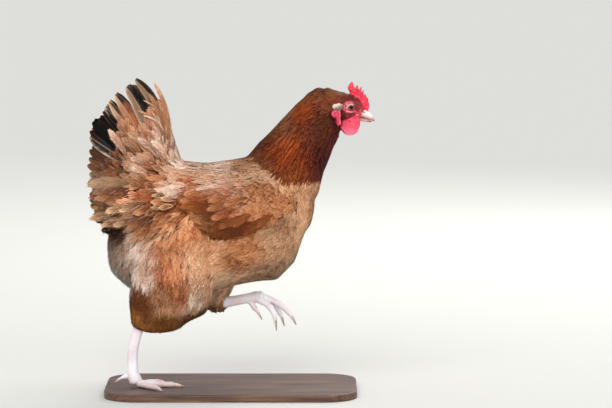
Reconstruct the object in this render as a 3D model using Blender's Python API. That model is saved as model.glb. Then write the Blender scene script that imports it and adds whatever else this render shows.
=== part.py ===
"""A life-size museum model of a brown laying hen in mid-stride, standing on a flat display base.

The hen faces +X, its left side is +Y and +Z is up. The right foot is planted on the base and the left leg
swings forward. The body is parted where its feather tracts part: hackle cape, trunk, wings, thighs and tail.
Rows of sizes are in millimetres, with the base's top as their zero level. Everything else is in metres.
"""

import math

import bmesh
import bpy
import numpy as np
from mathutils import Vector
from mathutils.bvhtree import BVHTree

MM = 0.001
GAP = 0.0004  # clearance kept between pieces that touch
FLAT_LEVEL = 0.0004  # height of the soles' flats over the base

# ---- driving dimensions ----
BASE_SIZE = Vector((0.340, 0.190, 0.010))
BASE_CORNER = 0.045
BASE_EDGE = 0.0015
LEG_SPREAD = 26.0  # the planted foot's distance from the midline, mm
EYE_RADIUS = 5.4
EYE_CENTRE = Vector((161.5, 9.3, 377.5))
COMB_HALF_THICKNESS = 2.3
SHANK_GIRTH = (6.6, 5.6)  # half depth and half width of the scaled shank, mm

# Each row of a tube is x, y, z of its centreline, then half its height and half its width.
NECK_ROWS = [
    (133.5, 0, 373.6, 30.5, 22),
    (125.5, 0, 369, 33, 24),
    (116.5, 0, 359.3, 36.6, 27),
    (106, 0, 343.8, 39.4, 30),
    (97.5, 0, 330.6, 42.5, 33),
    (88.5, 0, 316.6, 45.4, 37),
    (79, 0, 302, 50, 42),
    (69, 0, 285, 53, 49),
]
HEAD_ROWS = [
    (128, 0, 379.5, 21.5, 16.5),
    (140, 0, 378.5, 20.6, 17),
    (152, 0, 377.2, 19.2, 16),
    (161, 0, 375.9, 17.6, 14.2),
    (169, 0, 373.6, 13.8, 11),
    (175, 0, 370.2, 8.2, 7.8),
]
UPPER_BEAK_ROWS = [
    (169.5, 0, 370.2, 5.8, 6.6),
    (176.5, 0, 369.2, 5.9, 5.8),
    (183.5, 0, 366.2, 4.6, 4.3),
    (189.0, 0, 362.6, 3.0, 2.6),
    (192.8, 0, 358.8, 1.0, 1.1),
]
LOWER_BEAK_ROWS = [
    (168.5, 0, 361.4, 2.6, 5.6),
    (177, 0, 360.2, 2.5, 4.6),
    (184.5, 0, 358.6, 1.9, 3.0),
    (189.0, 0, 357.4, 0.9, 1.2),
]
TRUNK_ROWS = [
    (-157, 0, 192, 42, 40),
    (-139, 0, 199, 65, 52),
    (-108, 0, 208, 84, 63),
    (-72, 0, 214, 92, 69),
    (-34, 0, 212, 90, 71),
    (0, 0, 220, 86, 71),
    (34, 0, 226.5, 86, 68),
    (62, 0, 219.5, 77, 62),
    (86, 0, 226, 59, 52),
    (100.5, 0, 242.5, 32.5, 35),
]
TAIL_COVERT_ROWS = [
    (-106, 0, 222, 44, 50),
    (-112, 0, 248, 50, 52),
    (-111.5, 0, 280, 47.5, 46),
    (-107, 0, 312, 39, 34),
    (-108, 0, 342, 29, 22),
    (-106, 0, 372, 19, 12),
    (-101.5, 0, 394, 10.5, 6.5),
]
# The planted right leg's feathering hangs like a bag round the hock.
RIGHT_THIGH_ROWS = [
    (-74, -49, 224, 38, 26),
    (-70, -51, 196, 52, 32),
    (-76, -49, 158, 55, 35),
    (-80, -43, 122, 56, 31),
    (-84, -37, 103, 51, 25),
    (-98, -33, 88, 36, 17),
]
# The swinging left leg's drumstick runs back and down to its hock.
LEFT_THIGH_ROWS = [
    (-10, 47, 222, 40, 26),
    (0, 49, 194, 46, 31),
    (-4, 46, 162, 34, 29),
    (-16, 41, 136, 23, 22),
    (-23, 37, 118, 20, 17),
    (-21, 35, 103, 18, 13),
]
RIGHT_SHANK_ROWS = [
    (-114, -LEG_SPREAD - 3, 104, 8.0, 6.8),
    (-119.5, -LEG_SPREAD - 3, 92, 7.8, 6.6),
    (-127, -LEG_SPREAD - 2, 74, 7.3, 6.0),
    (-131.5, -LEG_SPREAD - 1, 55, 7.0, 5.7),
    (-133, -LEG_SPREAD, 36, 7.0, 5.7),
    (-132.5, -LEG_SPREAD, 20, 7.9, 7.2),
    (-129, -LEG_SPREAD, 8.5, 8.8, 8.8),
]
LEFT_SHANK_ROWS = [
    (-30, 34, 104, 8.0, 6.8),
    (-12, 33.5, 107, 7.5, 6.4),
    (6, 32.5, 110, 6.7, 5.8),
    (22, 31.5, 113, 6.6, 5.8),
    (34, 30.5, 115.2, 7.8, 7.6),
    (41, 30, 115.2, 7.4, 8.4),
]
# The folded wing's outline along the flank: x, its lower edge and its upper edge.
WING_ROWS = [
    (-66, 240, 256),
    (-54, 222, 266),
    (-36, 206, 272),
    (-12, 194, 276),
    (14, 194, 278),
    (42, 203, 280),
    (66, 218, 279),
    (82, 235, 272),
    (90, 246, 260),
]
WING_BULGE = 0.011
WING_DEPTH = 0.007

# The fan of tail feathers turns about its root from upright to below level, on each side of the midline.
FAN_ROOT = Vector((-89, 0, 271))
FAN_TURN = (97.0, 224.0)
FAN_FEATHERS = 9
FAN_STEPS = 4
FAN_REACH = (  # angle in degrees, and how far the tips reach there, mm
    (97, 138),
    (105, 146),
    (112, 140),
    (119, 136),
    (131, 126),
    (141, 123),
    (154, 110),
    (164, 99),
    (180, 102),
    (198, 101),
    (206, 105),
    (215, 101),
    (225, 88),
)
FAN_NOTCH = 0.09
FAN_SPREAD = (5.0, 50.0)  # lateral distance of the top and the lowest feather, mm
FAN_THICKNESS = 0.0016

FINISHES = {  # sRGB colour, roughness
    "hackle": ("#7a3a1f", 0.55),
    "plumage": ("#b4754c", 0.65),
    "fluff": ("#c48a5e", 0.75),
    "tail": ("#6b4a35", 0.5),
    "comb": ("#d8324a", 0.45),
    "beak": ("#e6cdb9", 0.35),
    "leg": ("#e9d3d2", 0.5),
    "claw": ("#cdbab2", 0.4),
    "eye": ("#b5641c", 0.08),
    "stand": ("#5a4030", 0.5),
}


def linear(hex_colour):
    """An sRGB hex colour as linear RGBA."""
    parts = [int(hex_colour[i : i + 2], 16) / 255 for i in (1, 3, 5)]
    return [c / 12.92 if c <= 0.04045 else ((c + 0.055) / 1.055) ** 2.4 for c in parts] + [1.0]


def finish(name):
    """The material of that name, made the first time that it is asked for."""
    found = bpy.data.materials.get(name)
    if found:
        return found
    colour, roughness = FINISHES[name]
    made = bpy.data.materials.new(name)
    made.use_nodes = True
    shader = made.node_tree.nodes["Principled BSDF"]
    shader.inputs["Base Color"].default_value = linear(colour)
    shader.inputs["Roughness"].default_value = roughness
    shader.inputs["Metallic"].default_value = 0.0
    return made


# ---- shapes from rows ----


def through(rows, per_row):
    """Points on a smooth Catmull-Rom line through the rows, per_row of them from each row to the next."""
    rows = np.array(rows, float)
    ends = np.vstack([2 * rows[0] - rows[1], rows, 2 * rows[-1] - rows[-2]])
    made = []
    for before, here, there, after in zip(ends, ends[1:], ends[2:], ends[3:]):
        for t in np.arange(per_row) / per_row:
            made.append(
                0.5 * (2 * here + (there - before) * t + (2 * before - 5 * here + 4 * there - after) * t**2)
                + 0.5 * (3 * here - before - 3 * there + after) * t**3
            )
    return np.array(made + [rows[-1]])


def solid(name, points, faces, material):
    """A named object with outward faces, shaded smooth."""
    mesh = bpy.data.meshes.new(name)
    mesh.from_pydata([tuple(p) for p in points], [], faces)
    shell = bmesh.new()
    shell.from_mesh(mesh)
    bmesh.ops.triangulate(shell, faces=shell.faces)
    bmesh.ops.recalc_face_normals(shell, faces=shell.faces)
    if shell.calc_volume(signed=True) < 0:
        bmesh.ops.reverse_faces(shell, faces=shell.faces)
    shell.to_mesh(mesh)
    shell.free()
    mesh.materials.append(finish(material))
    mesh.shade_smooth()
    made = bpy.data.objects.new(name, mesh)
    bpy.context.scene.collection.objects.link(made)
    return made


def ring_faces(rings, sides):
    """Faces of a stack of rings, closed by one pole point at each end, which come after the rings."""
    faces = []
    for ring in range(rings - 1):
        for side in range(sides):
            a, b = ring * sides + side, ring * sides + (side + 1) % sides
            faces.append((a, b, b + sides, a + sides))
    first, last = rings * sides, rings * sides + 1
    top = (rings - 1) * sides
    for side in range(sides):
        faces.append((first, (side + 1) % sides, side))
        faces.append((last, top + side, top + (side + 1) % sides))
    return faces


def tube(
    name, rows, material, sides=12, per_row=2, domes=(0, 0), dome_rings=2, squareness=2.0, level=None, square_to=None
):
    """A closed solid round a bent centreline, with a rounded end of that depth at each end.

    domes are depths in millimetres, 0 for a flat end. level lifts whatever is lower to that height.
    Rings stand square to the centreline, or all of them to the direction square_to.
    """
    rows = through(rows, per_row) * MM
    centres, sizes = rows[:, :3], rows[:, 3:]
    along = np.gradient(centres, axis=0) if square_to is None else np.tile(np.array(square_to, float), (len(rows), 1))
    along /= np.linalg.norm(along, axis=1)[:, None]
    stack = [(c, t, s) for c, t, s in zip(centres, along, sizes)]
    angles = np.arange(1, dome_rings + 1) / (dome_rings + 1) * math.pi / 2
    if domes[0]:
        start = [(centres[0] - along[0] * domes[0] * MM * math.sin(a), along[0], sizes[0] * math.cos(a)) for a in angles]
        stack = start[::-1] + stack
    if domes[1]:
        stack += [(centres[-1] + along[-1] * domes[1] * MM * math.sin(a), along[-1], sizes[-1] * math.cos(a)) for a in angles]
    turn = np.arange(sides) / sides * 2 * math.pi
    across = np.sign(np.cos(turn)) * abs(np.cos(turn)) ** (2 / squareness)
    upward = np.sign(np.sin(turn)) * abs(np.sin(turn)) ** (2 / squareness)
    points = []
    for centre, direction, (half_height, half_width) in stack:
        side = np.array((0, 1, 0)) - direction * direction[1]
        side /= np.linalg.norm(side)
        up = np.cross(direction, side)
        points += [centre + side * half_width * c + up * half_height * s for c, s in zip(across, upward)]
    points.append(centres[0] - along[0] * domes[0] * MM)
    points.append(centres[-1] + along[-1] * domes[1] * MM)
    if level is not None:
        points = [(x, y, max(z, level)) for x, y, z in points]
    return solid(name, points, ring_faces(len(stack), sides), material)


def wing(name, flank, side, sides=12, per_row=1):
    """The folded wing: a lens that follows the flank it lies on. side is 1 on the left and -1 on the right."""
    rows = through(WING_ROWS, per_row) * MM
    points = []
    for share, (x, low, high) in zip(np.linspace(0, 1, len(rows)), rows):
        swell = math.sqrt(max(0.0, 1 - (2 * share - 1) ** 4))
        for turn in np.arange(sides) / sides * 2 * math.pi:
            z = (low + high) / 2 + (high - low) / 2 * math.cos(turn)
            lift = math.sin(turn) * (WING_BULGE if math.sin(turn) > 0 else WING_DEPTH) * (0.25 + 0.75 * swell)
            points.append((x, side * (flank(x, z) + lift), z))
    for x, low, high in (rows[0], rows[-1]):
        z = (low + high) / 2
        points.append((x, side * flank(x, z), z))
    return solid(name, points, ring_faces(len(rows), sides), "plumage")


def flank_of(body):
    """A function that gives how far the body's side lies from the midline at x, z."""
    tree = BVHTree.FromObject(body, bpy.context.evaluated_depsgraph_get())

    def flank(x, z):
        hit = tree.ray_cast(Vector((x, 1, z)), Vector((0, -1, 0)))[0]
        return hit.y if hit else 0.0

    return flank


def tail_fan(name, side):
    """One side of the tail: a thin fan of feathers with rounded tips, opening outwards from top to bottom."""
    count = FAN_FEATHERS * FAN_STEPS
    shares = np.arange(count + 1) / count
    angles = FAN_TURN[0] + (FAN_TURN[1] - FAN_TURN[0]) * shares
    reach = np.interp(angles, *np.array(FAN_REACH, float).T)
    within = np.abs(2 * ((shares * FAN_FEATHERS) % 1.0) - 1)
    reach = reach * (1 - FAN_NOTCH * within**2.2) * MM
    lateral = (FAN_SPREAD[0] + (FAN_SPREAD[1] - FAN_SPREAD[0]) * shares**0.8) * MM
    radial = np.array((0.42, 0.72, 1.0))
    bow = np.array((-0.003, 0.002, 0.0))
    layers = []
    for half in (FAN_THICKNESS / 2, -FAN_THICKNESS / 2):
        for share, offset in zip(radial, bow):
            radius = reach * share
            x = FAN_ROOT.x * MM + radius * np.cos(np.radians(angles))
            z = FAN_ROOT.z * MM + radius * np.sin(np.radians(angles))
            y = side * (lateral + offset * shares + half)
            layers.append(np.stack([x, y, z], axis=1))
    points = np.concatenate(layers)
    per_layer, loop = count + 1, len(radial)
    order = list(range(loop)) + [loop + i for i in reversed(range(loop))]
    faces = []
    for here, there in zip(order, order[1:] + order[:1]):
        for i in range(count):
            a, b = here * per_layer + i, there * per_layer + i
            faces.append((a, a + 1, b + 1, b))
    faces.append([n * per_layer for n in order])
    faces.append([n * per_layer + count for n in reversed(order)])
    return solid(name, points, faces, "tail")


def comb_blade(name):
    """The single comb: a thin upright blade with pointed teeth that shorten towards the beak."""
    centre = Vector((163.5, 0, 370))
    teeth = ((91, 41.5), (77.5, 38.5), (68, 37), (59, 35), (47, 31), (33, 28))  # angle, reach of each point
    valley = 6.0
    outline = [(103, 25), (98, 34)]
    for (angle, reach), (after, next_reach) in zip(teeth, teeth[1:]):
        outline += [(angle, reach), ((angle + after) / 2, (reach + next_reach) / 2 - valley)]
    outline += [teeth[-1], (18, 26), (4, 22.5), (-4, 17), (8, 9), (50, 8), (95, 12)]
    points = []
    for half in (COMB_HALF_THICKNESS, -COMB_HALF_THICKNESS):
        for angle, reach in outline:
            a = math.radians(angle)
            thin = 1.0 - 0.45 * max(0.0, (reach - 20) / 20)
            points.append(
                ((centre.x + reach * math.cos(a)) * MM, half * thin * MM, (centre.z + reach * math.sin(a)) * MM)
            )
    count = len(outline)
    faces = [list(range(count)), list(range(2 * count - 1, count - 1, -1))]
    faces += [(i, i + count, (i + 1) % count + count, (i + 1) % count) for i in range(count)]
    return solid(name, points, faces, "comb")


def pebble(name, centre, radii, material, tilt=0.0, sides=14, rings=8):
    """An ellipsoid with poles across the bird, turned by tilt degrees in side view. Sizes in millimetres."""
    turned = math.radians(tilt)
    points = []
    for ring in range(1, rings):
        fall = math.pi * ring / rings
        for turn in np.arange(sides) / sides * 2 * math.pi:
            x, z = radii[0] * math.sin(fall) * math.cos(turn), radii[2] * math.sin(fall) * math.sin(turn)
            points.append(
                (
                    (centre[0] + x * math.cos(turned) - z * math.sin(turned)) * MM,
                    (centre[1] + radii[1] * math.cos(fall)) * MM,
                    (centre[2] + x * math.sin(turned) + z * math.cos(turned)) * MM,
                )
            )
    points.append((centre[0] * MM, (centre[1] + radii[1]) * MM, centre[2] * MM))
    points.append((centre[0] * MM, (centre[1] - radii[1]) * MM, centre[2] * MM))
    return solid(name, points, ring_faces(rings - 1, sides), material)


# ---- fitting pieces to each other ----


def inflated(piece, by):
    """A hidden copy of the piece, grown by that much on every side."""
    grown = piece.copy()
    grown.data = piece.data.copy()
    shell = bmesh.new()
    shell.from_mesh(grown.data)
    shell.normal_update()
    moves = []
    for point in shell.verts:
        facing = min((point.normal.dot(face.normal) for face in point.link_faces), default=1.0)
        moves.append(point.normal * by / max(0.3, facing))
    for point, move in zip(shell.verts, moves):
        point.co += move
    shell.to_mesh(grown.data)
    shell.free()
    grown.hide_render = True
    grown.display_type = "WIRE"
    bpy.context.scene.collection.objects.link(grown)
    return grown


def largest_body(mesh):
    """Keeps the largest connected body of the mesh and drops crumbs that a cut has left."""
    shell = bmesh.new()
    shell.from_mesh(mesh)
    waiting = set(shell.faces)
    groups = []
    while waiting:
        group, todo = set(), [waiting.pop()]
        while todo:
            face = todo.pop()
            group.add(face)
            for edge in face.edges:
                for near in edge.link_faces:
                    if near in waiting:
                        waiting.remove(near)
                        todo.append(near)
        groups.append(group)
    keep = max(groups, key=lambda group: sum(face.calc_area() for face in group))
    bmesh.ops.delete(shell, geom=[face for face in shell.faces if face not in keep], context="FACES")
    shell.to_mesh(mesh)
    shell.free()


def carve(piece, tools, clearance=GAP):
    """Cuts room for each of the tools into the piece, with that clearance round it."""
    for tool in tools:
        cutter = inflated(tool, clearance)
        cut = piece.modifiers.new("room for " + tool.name, "BOOLEAN")
        cut.operation = "DIFFERENCE"
        cut.solver = "EXACT"
        cut.use_self = True
        cut.object = cutter
        shaped = bpy.data.meshes.new_from_object(piece.evaluated_get(bpy.context.evaluated_depsgraph_get()))
        piece.modifiers.remove(cut)
        piece.data = shaped
        largest_body(piece.data)
        bpy.data.objects.remove(cutter)
    piece.data.shade_smooth()
    return piece


# ---- the hen's sub-parts ----


def arc(start, heading, length, droop, rise=0.0):
    """Five points along a toe from start, leaving at heading degrees and bending down by droop degrees."""
    points = [Vector(start)]
    steps = 4
    for step in range(steps):
        pitch = math.radians(rise - droop * (step + 0.5) / steps)
        turn = math.radians(heading)
        way = Vector((math.cos(pitch) * math.cos(turn), math.cos(pitch) * math.sin(turn), math.sin(pitch)))
        points.append(points[-1] + way * length / steps)
    return points


def toe_and_claw(name, start, heading, length, droop, rise, thick, level=None):
    """A toe with a knuckled outline, and its curved claw a clearance beyond the toe's end."""
    points = arc(start, heading, length, droop, rise)
    knuckles = (1.0, 0.86, 0.92, 0.76, 0.74)
    rows = [(*p, thick * k, thick * k * 0.95) for p, k in zip(points, knuckles)]
    toe = tube(f"toe_{name}", rows, "leg", sides=8, per_row=1, domes=(0, 1.6), dome_rings=1, level=level)
    ahead = (points[-1] - points[-2]).normalized()
    root = points[-1] - ahead * 1.5
    fall = Vector((0, 0, -1))
    girth = thick * 0.5
    reach = 11.5 * thick / 5.0
    claw_points = [root + ahead * reach * s + fall * reach * 0.34 * s * s for s in (0, 0.25, 0.5, 0.75, 1.0)]
    claw_rows = [(*p, girth * k, girth * k * 0.8) for p, k in zip(claw_points, (1, 0.92, 0.72, 0.46, 0.2))]
    if level is not None:
        claw_rows = [(x, y, max(z, h + level / MM), h, w) for x, y, z, h, w in claw_rows]
    claw = tube(f"claw_{name}", claw_rows, "claw", sides=6, per_row=1, domes=(0, 0.6), dome_rings=1, level=level)
    carve(toe, [claw])
    return toe, claw


def planted_foot(shank):
    """The right foot's toes, spread flat on the base."""
    centre = (-126, -LEG_SPREAD, 4.6)
    toes = [
        toe_and_claw("right_inner", centre, 40, 40, 0, -1.5, 4.6, FLAT_LEVEL),
        toe_and_claw("right_middle", centre, 0, 52, 0, -1.5, 5.0, FLAT_LEVEL),
        toe_and_claw("right_outer", centre, -48, 44, 0, -1.5, 4.5, FLAT_LEVEL),
        toe_and_claw("right_hind", (-133, -LEG_SPREAD, 18), 177, 19, 0, -22, 3.9, FLAT_LEVEL),
    ]
    fit_toes(toes, shank)


def lifted_foot(shank):
    """The left foot's toes, hanging half closed from the raised shank."""
    toes = [
        toe_and_claw("left_inner", (38, 27, 110.5), -14, 38, 78, -12, 4.6),
        toe_and_claw("left_middle", (42, 30, 115), 2, 49, 48, -10, 4.9),
        toe_and_claw("left_outer", (41, 33, 112), 22, 42, 62, -12, 4.4),
        toe_and_claw("left_hind", (26, 30, 108), -8, 18, -14, -62, 4.0),
    ]
    fit_toes(toes, shank)


def fit_toes(toes, shank):
    """Carves the toes clear of the shank and of each other."""
    inner, middle, outer, hind = [toe for toe, _ in toes]
    carve(outer, [shank, middle, inner])
    carve(inner, [shank, middle])
    carve(middle, [shank])
    carve(hind, [shank])


def display_base():
    """A plain flat board with rounded corners and a softened edge."""
    made = solid("stand_base", *rounded_slab(BASE_SIZE, BASE_CORNER, BASE_EDGE), "stand")
    made.data.shade_flat()
    return made


def rounded_slab(size, corner, edge, steps=4):
    """Points and faces of a slab whose top is at level 0."""
    outline = []
    for quarter, (sx, sy) in enumerate(((1, 1), (-1, 1), (-1, -1), (1, -1))):
        for step in range(steps + 1):
            a = math.radians(90 * (quarter + step / steps))
            outline.append((sx * (size.x / 2 - corner), sy * (size.y / 2 - corner), math.cos(a), math.sin(a)))
    levels = ((-size.z, corner), (-edge, corner), (0.0, corner - edge))
    points = [(x + c * r, y + s * r, z) for z, r in levels for x, y, c, s in outline]
    count = len(outline)
    faces = [list(range(count - 1, -1, -1)), [2 * count + i for i in range(count)]]
    for layer in range(len(levels) - 1):
        for i in range(count):
            a, b = layer * count + i, layer * count + (i + 1) % count
            faces.append((a, b, b + count, a + count))
    return points, faces


def stand_on_origin():
    """Moves everything so that the origin is the bottom centre of the whole model's box."""
    pieces = [o for o in bpy.data.objects if o.type == "MESH"]
    corners = np.array([v.co for o in pieces for v in o.data.vertices])
    low, high = corners.min(axis=0), corners.max(axis=0)
    shift = Vector((-(low[0] + high[0]) / 2, -(low[1] + high[1]) / 2, -low[2]))
    for piece in pieces:
        for vertex in piece.data.vertices:
            vertex.co += shift


def build():
    for old in list(bpy.data.objects):
        bpy.data.objects.remove(old)

    right_shank = tube("shank_right", RIGHT_SHANK_ROWS, "leg", sides=10, per_row=1, domes=(6, 5), level=FLAT_LEVEL)
    left_shank = tube("shank_left", LEFT_SHANK_ROWS, "leg", sides=10, per_row=1, domes=(6, 3))
    planted_foot(right_shank)
    lifted_foot(left_shank)

    hanging = {"sides": 14, "per_row": 1, "squareness": 2.1, "square_to": (0, 0, -1)}
    right_thigh = tube("thigh_right", RIGHT_THIGH_ROWS, "fluff", domes=(14, 12), **hanging)
    left_thigh = tube("thigh_left", LEFT_THIGH_ROWS, "fluff", domes=(16, 8), **hanging)
    carve(right_thigh, [right_shank])
    carve(left_thigh, [left_shank])

    neck = tube("neck", NECK_ROWS, "hackle", sides=16, per_row=1, domes=(7, 30))
    upper = tube("beak_upper", UPPER_BEAK_ROWS, "beak", sides=10, per_row=1, domes=(0, 0.9), dome_rings=1)
    lower = tube("beak_lower", LOWER_BEAK_ROWS, "beak", sides=8, per_row=1, domes=(0, 0.7), dome_rings=1)
    carve(lower, [upper])
    eyes = []
    for side, word in ((1, "left"), (-1, "right")):
        centre = (EYE_CENTRE.x, side * EYE_CENTRE.y, EYE_CENTRE.z)
        eyes.append(pebble(f"eye_{word}", centre, (EYE_RADIUS, EYE_RADIUS, EYE_RADIUS), "eye", sides=10, rings=6))
    head = tube("head", HEAD_ROWS, "hackle", sides=14, per_row=1, domes=(8, 4), squareness=2.2)
    carve(head, [neck, upper, lower, *eyes])

    carve(comb_blade("comb"), [neck, head, upper])
    for side, word in ((1, "left"), (-1, "right")):
        wattle = pebble(f"wattle_{word}", (159 - side * 1.5, side * 6.2, 352), (12.5, 2.4, 13.0), "comb", tilt=-20, sides=12, rings=6)
        carve(wattle, [head, neck, lower, upper])
        lobe = pebble(f"earlobe_{word}", (142.5, side * 20.5, 362), (5.6, 3.4, 11.5), "comb", tilt=6, sides=10, rings=6)
        carve(lobe, [neck, head])

    trunk = tube("trunk", TRUNK_ROWS, "plumage", sides=18, per_row=1, domes=(9, 11), square_to=(1, 0, 0))
    flank = flank_of(trunk)
    coverts = tube("tail", TAIL_COVERT_ROWS, "fluff", sides=14, per_row=1, domes=(10, 14), square_to=(0, 0, 1))
    for side, word in ((1, "left"), (-1, "right")):
        carve(tail_fan(f"tail_fan_{word}", side), [coverts, trunk, right_thigh, left_thigh])
    wings = [carve(wing(f"wing_{w}", flank, s), [right_thigh, left_thigh, neck]) for s, w in ((1, "left"), (-1, "right"))]
    carve(coverts, [*wings, right_thigh, left_thigh])
    carve(trunk, [neck, *wings, right_thigh, left_thigh, coverts])

    display_base()
    stand_on_origin()


build()
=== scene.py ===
"""A brown hen in mid-stride as a still museum model: skin, plumage, horn, eyes and a wooden display base.

The plumage is laid feather by feather. Each feather's shaft is led along the body from its root in the skin,
and carries a vane with a ragged edge and loose barbs over it. A map of named places on the hen gives the lie,
size and colours of the feathers near each place, and the skin takes its colours from the same map.
"""

import math

import bmesh
import bpy
import numpy as np
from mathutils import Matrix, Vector, kdtree
from mathutils.bvhtree import BVHTree


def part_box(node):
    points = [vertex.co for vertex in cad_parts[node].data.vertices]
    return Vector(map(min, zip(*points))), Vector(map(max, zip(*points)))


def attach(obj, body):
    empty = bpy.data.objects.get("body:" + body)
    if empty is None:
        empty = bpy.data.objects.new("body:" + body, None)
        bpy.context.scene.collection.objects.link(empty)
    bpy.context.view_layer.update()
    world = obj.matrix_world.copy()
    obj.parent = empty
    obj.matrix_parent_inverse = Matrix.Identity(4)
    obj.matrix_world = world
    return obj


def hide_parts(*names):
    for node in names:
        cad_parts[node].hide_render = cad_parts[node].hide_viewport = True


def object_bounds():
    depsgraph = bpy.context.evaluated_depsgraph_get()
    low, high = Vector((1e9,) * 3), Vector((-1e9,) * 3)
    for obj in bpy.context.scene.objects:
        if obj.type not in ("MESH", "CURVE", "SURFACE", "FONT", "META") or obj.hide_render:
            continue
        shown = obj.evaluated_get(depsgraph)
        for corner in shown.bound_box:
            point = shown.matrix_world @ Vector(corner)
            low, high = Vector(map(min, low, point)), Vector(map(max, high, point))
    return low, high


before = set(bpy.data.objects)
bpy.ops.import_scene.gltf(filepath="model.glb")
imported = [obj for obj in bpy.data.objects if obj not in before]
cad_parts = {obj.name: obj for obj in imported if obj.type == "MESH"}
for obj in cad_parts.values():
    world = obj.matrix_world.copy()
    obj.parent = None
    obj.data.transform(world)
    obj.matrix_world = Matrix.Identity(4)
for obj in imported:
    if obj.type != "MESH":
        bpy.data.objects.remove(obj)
cad_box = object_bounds()

MM = 0.001
PATCH = 0.003  # each feather's share of the OFBake map
MOST_TRIANGLES = 190_000  # in one piece of the coat
SIDES = {"left": 1, "right": -1}
chance = np.random.default_rng(11)

base_low, base_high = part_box("stand_base")
GROUND = np.array([(base_low.x + base_high.x) / 2, (base_low.y + base_high.y) / 2, base_high.z])


def place(*mm):
    """A point in metres from millimetres forward, to the left and above the display base."""
    return GROUND + np.array(mm, float) * MM


def mm_of(points):
    """The points in millimetres forward, to the left and above the display base."""
    return (points - GROUND) / MM


def linear(hex_colour):
    """An sRGB hex colour as linear RGB."""
    parts = np.array([int(hex_colour[i : i + 2], 16) for i in (1, 3, 5)]) / 255
    return np.where(parts <= 0.04045, parts / 12.92, ((parts + 0.055) / 1.055) ** 2.4)


def unit(vectors):
    return vectors / np.maximum(np.linalg.norm(vectors, axis=-1, keepdims=True), 1e-9)


def ease(low, high, value):
    """0 below low, 1 above high, and a smooth rise between them."""
    t = np.clip((value - low) / (high - low), 0, 1)
    return t * t * (3 - 2 * t)


def evenly(points, hex_colour):
    """The same colour for every point."""
    return np.tile(linear(hex_colour), (len(points), 1))


def toward(tint, hex_colour, share):
    """The tint mixed with that share of another colour."""
    return tint + (linear(hex_colour) - tint) * np.clip(share, 0, 1)[..., None]


def add_object(name, data):
    """Puts an object of that mesh, light or camera into the scene."""
    made = bpy.data.objects.new(name, data)
    bpy.context.scene.collection.objects.link(made)
    return made


def mesh_arrays(mesh):
    """A mesh's points, and its triangles as the numbers of their corners."""
    mesh.calc_loop_triangles()
    points = np.empty(len(mesh.vertices) * 3, np.float32)
    mesh.vertices.foreach_get("co", points)
    faces = np.empty(len(mesh.loop_triangles) * 3, np.int32)
    mesh.loop_triangles.foreach_get("vertices", faces)
    return points.reshape(-1, 3).astype(float), faces.reshape(-1, 3)


# ---- the map of the plumage ----
# The tones of her feathers: the middle, the pale and the dark colour of each.
# The pale colour is partly the feathers' own pale rims, tips and streaks and partly painted highlight and
# sheen;
# the dark colour is partly their own dark bases and partly painted shade between feathers.
TONES = {
    "cream": ("#c09880", "#e8d4c4", "#946850"),
    "buff": ("#b08868", "#d4b090", "#7c5838"),
    "rosy_cream": ("#b07e64", "#ecd0bc", "#6c402c"),
    "golden_buff": ("#b2744c", "#e2b28c", "#824c2a"),
    "fawn": ("#aa7454", "#deb494", "#724428"),
    "grey_down": ("#847a70", "#b4b4ac", "#564a3c"),
    "rosy_brown": ("#804c34", "#bc8a70", "#4c2414"),
    "cinnamon": ("#94502c", "#cc9064", "#683014"),
    "tipped_cinnamon": ("#8a4c2c", "#dea47c", "#3e1606"),
    "tipped_umber": ("#7c4e2e", "#eec49c", "#281004"),
    "rust": ("#803c1e", "#c08058", "#4c1808"),
    "deep_rust": ("#662812", "#a0603c", "#320a02"),
    "walnut": ("#663214", "#8c562e", "#643214"),
    "umber": ("#662c0e", "#9a5a2e", "#3e1604"),
    "face_red": ("#62221a", "#94443c", "#300c0a"),
    "hock_brown": ("#70401c", "#966030", "#44240c"),
    "wing_brown": ("#56260c", "#7c4420", "#6c3418"),
    # shadow_brown: partly dark brown feathers, partly painted shade under the tail
    "shadow_brown": ("#48200c", "#a8764c", "#100200"),
    "chestnut": ("#481204", "#a05428", "#240400"),
    "bright_chestnut": ("#480a02", "#a84c1c", "#1e0200"),
}

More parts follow.
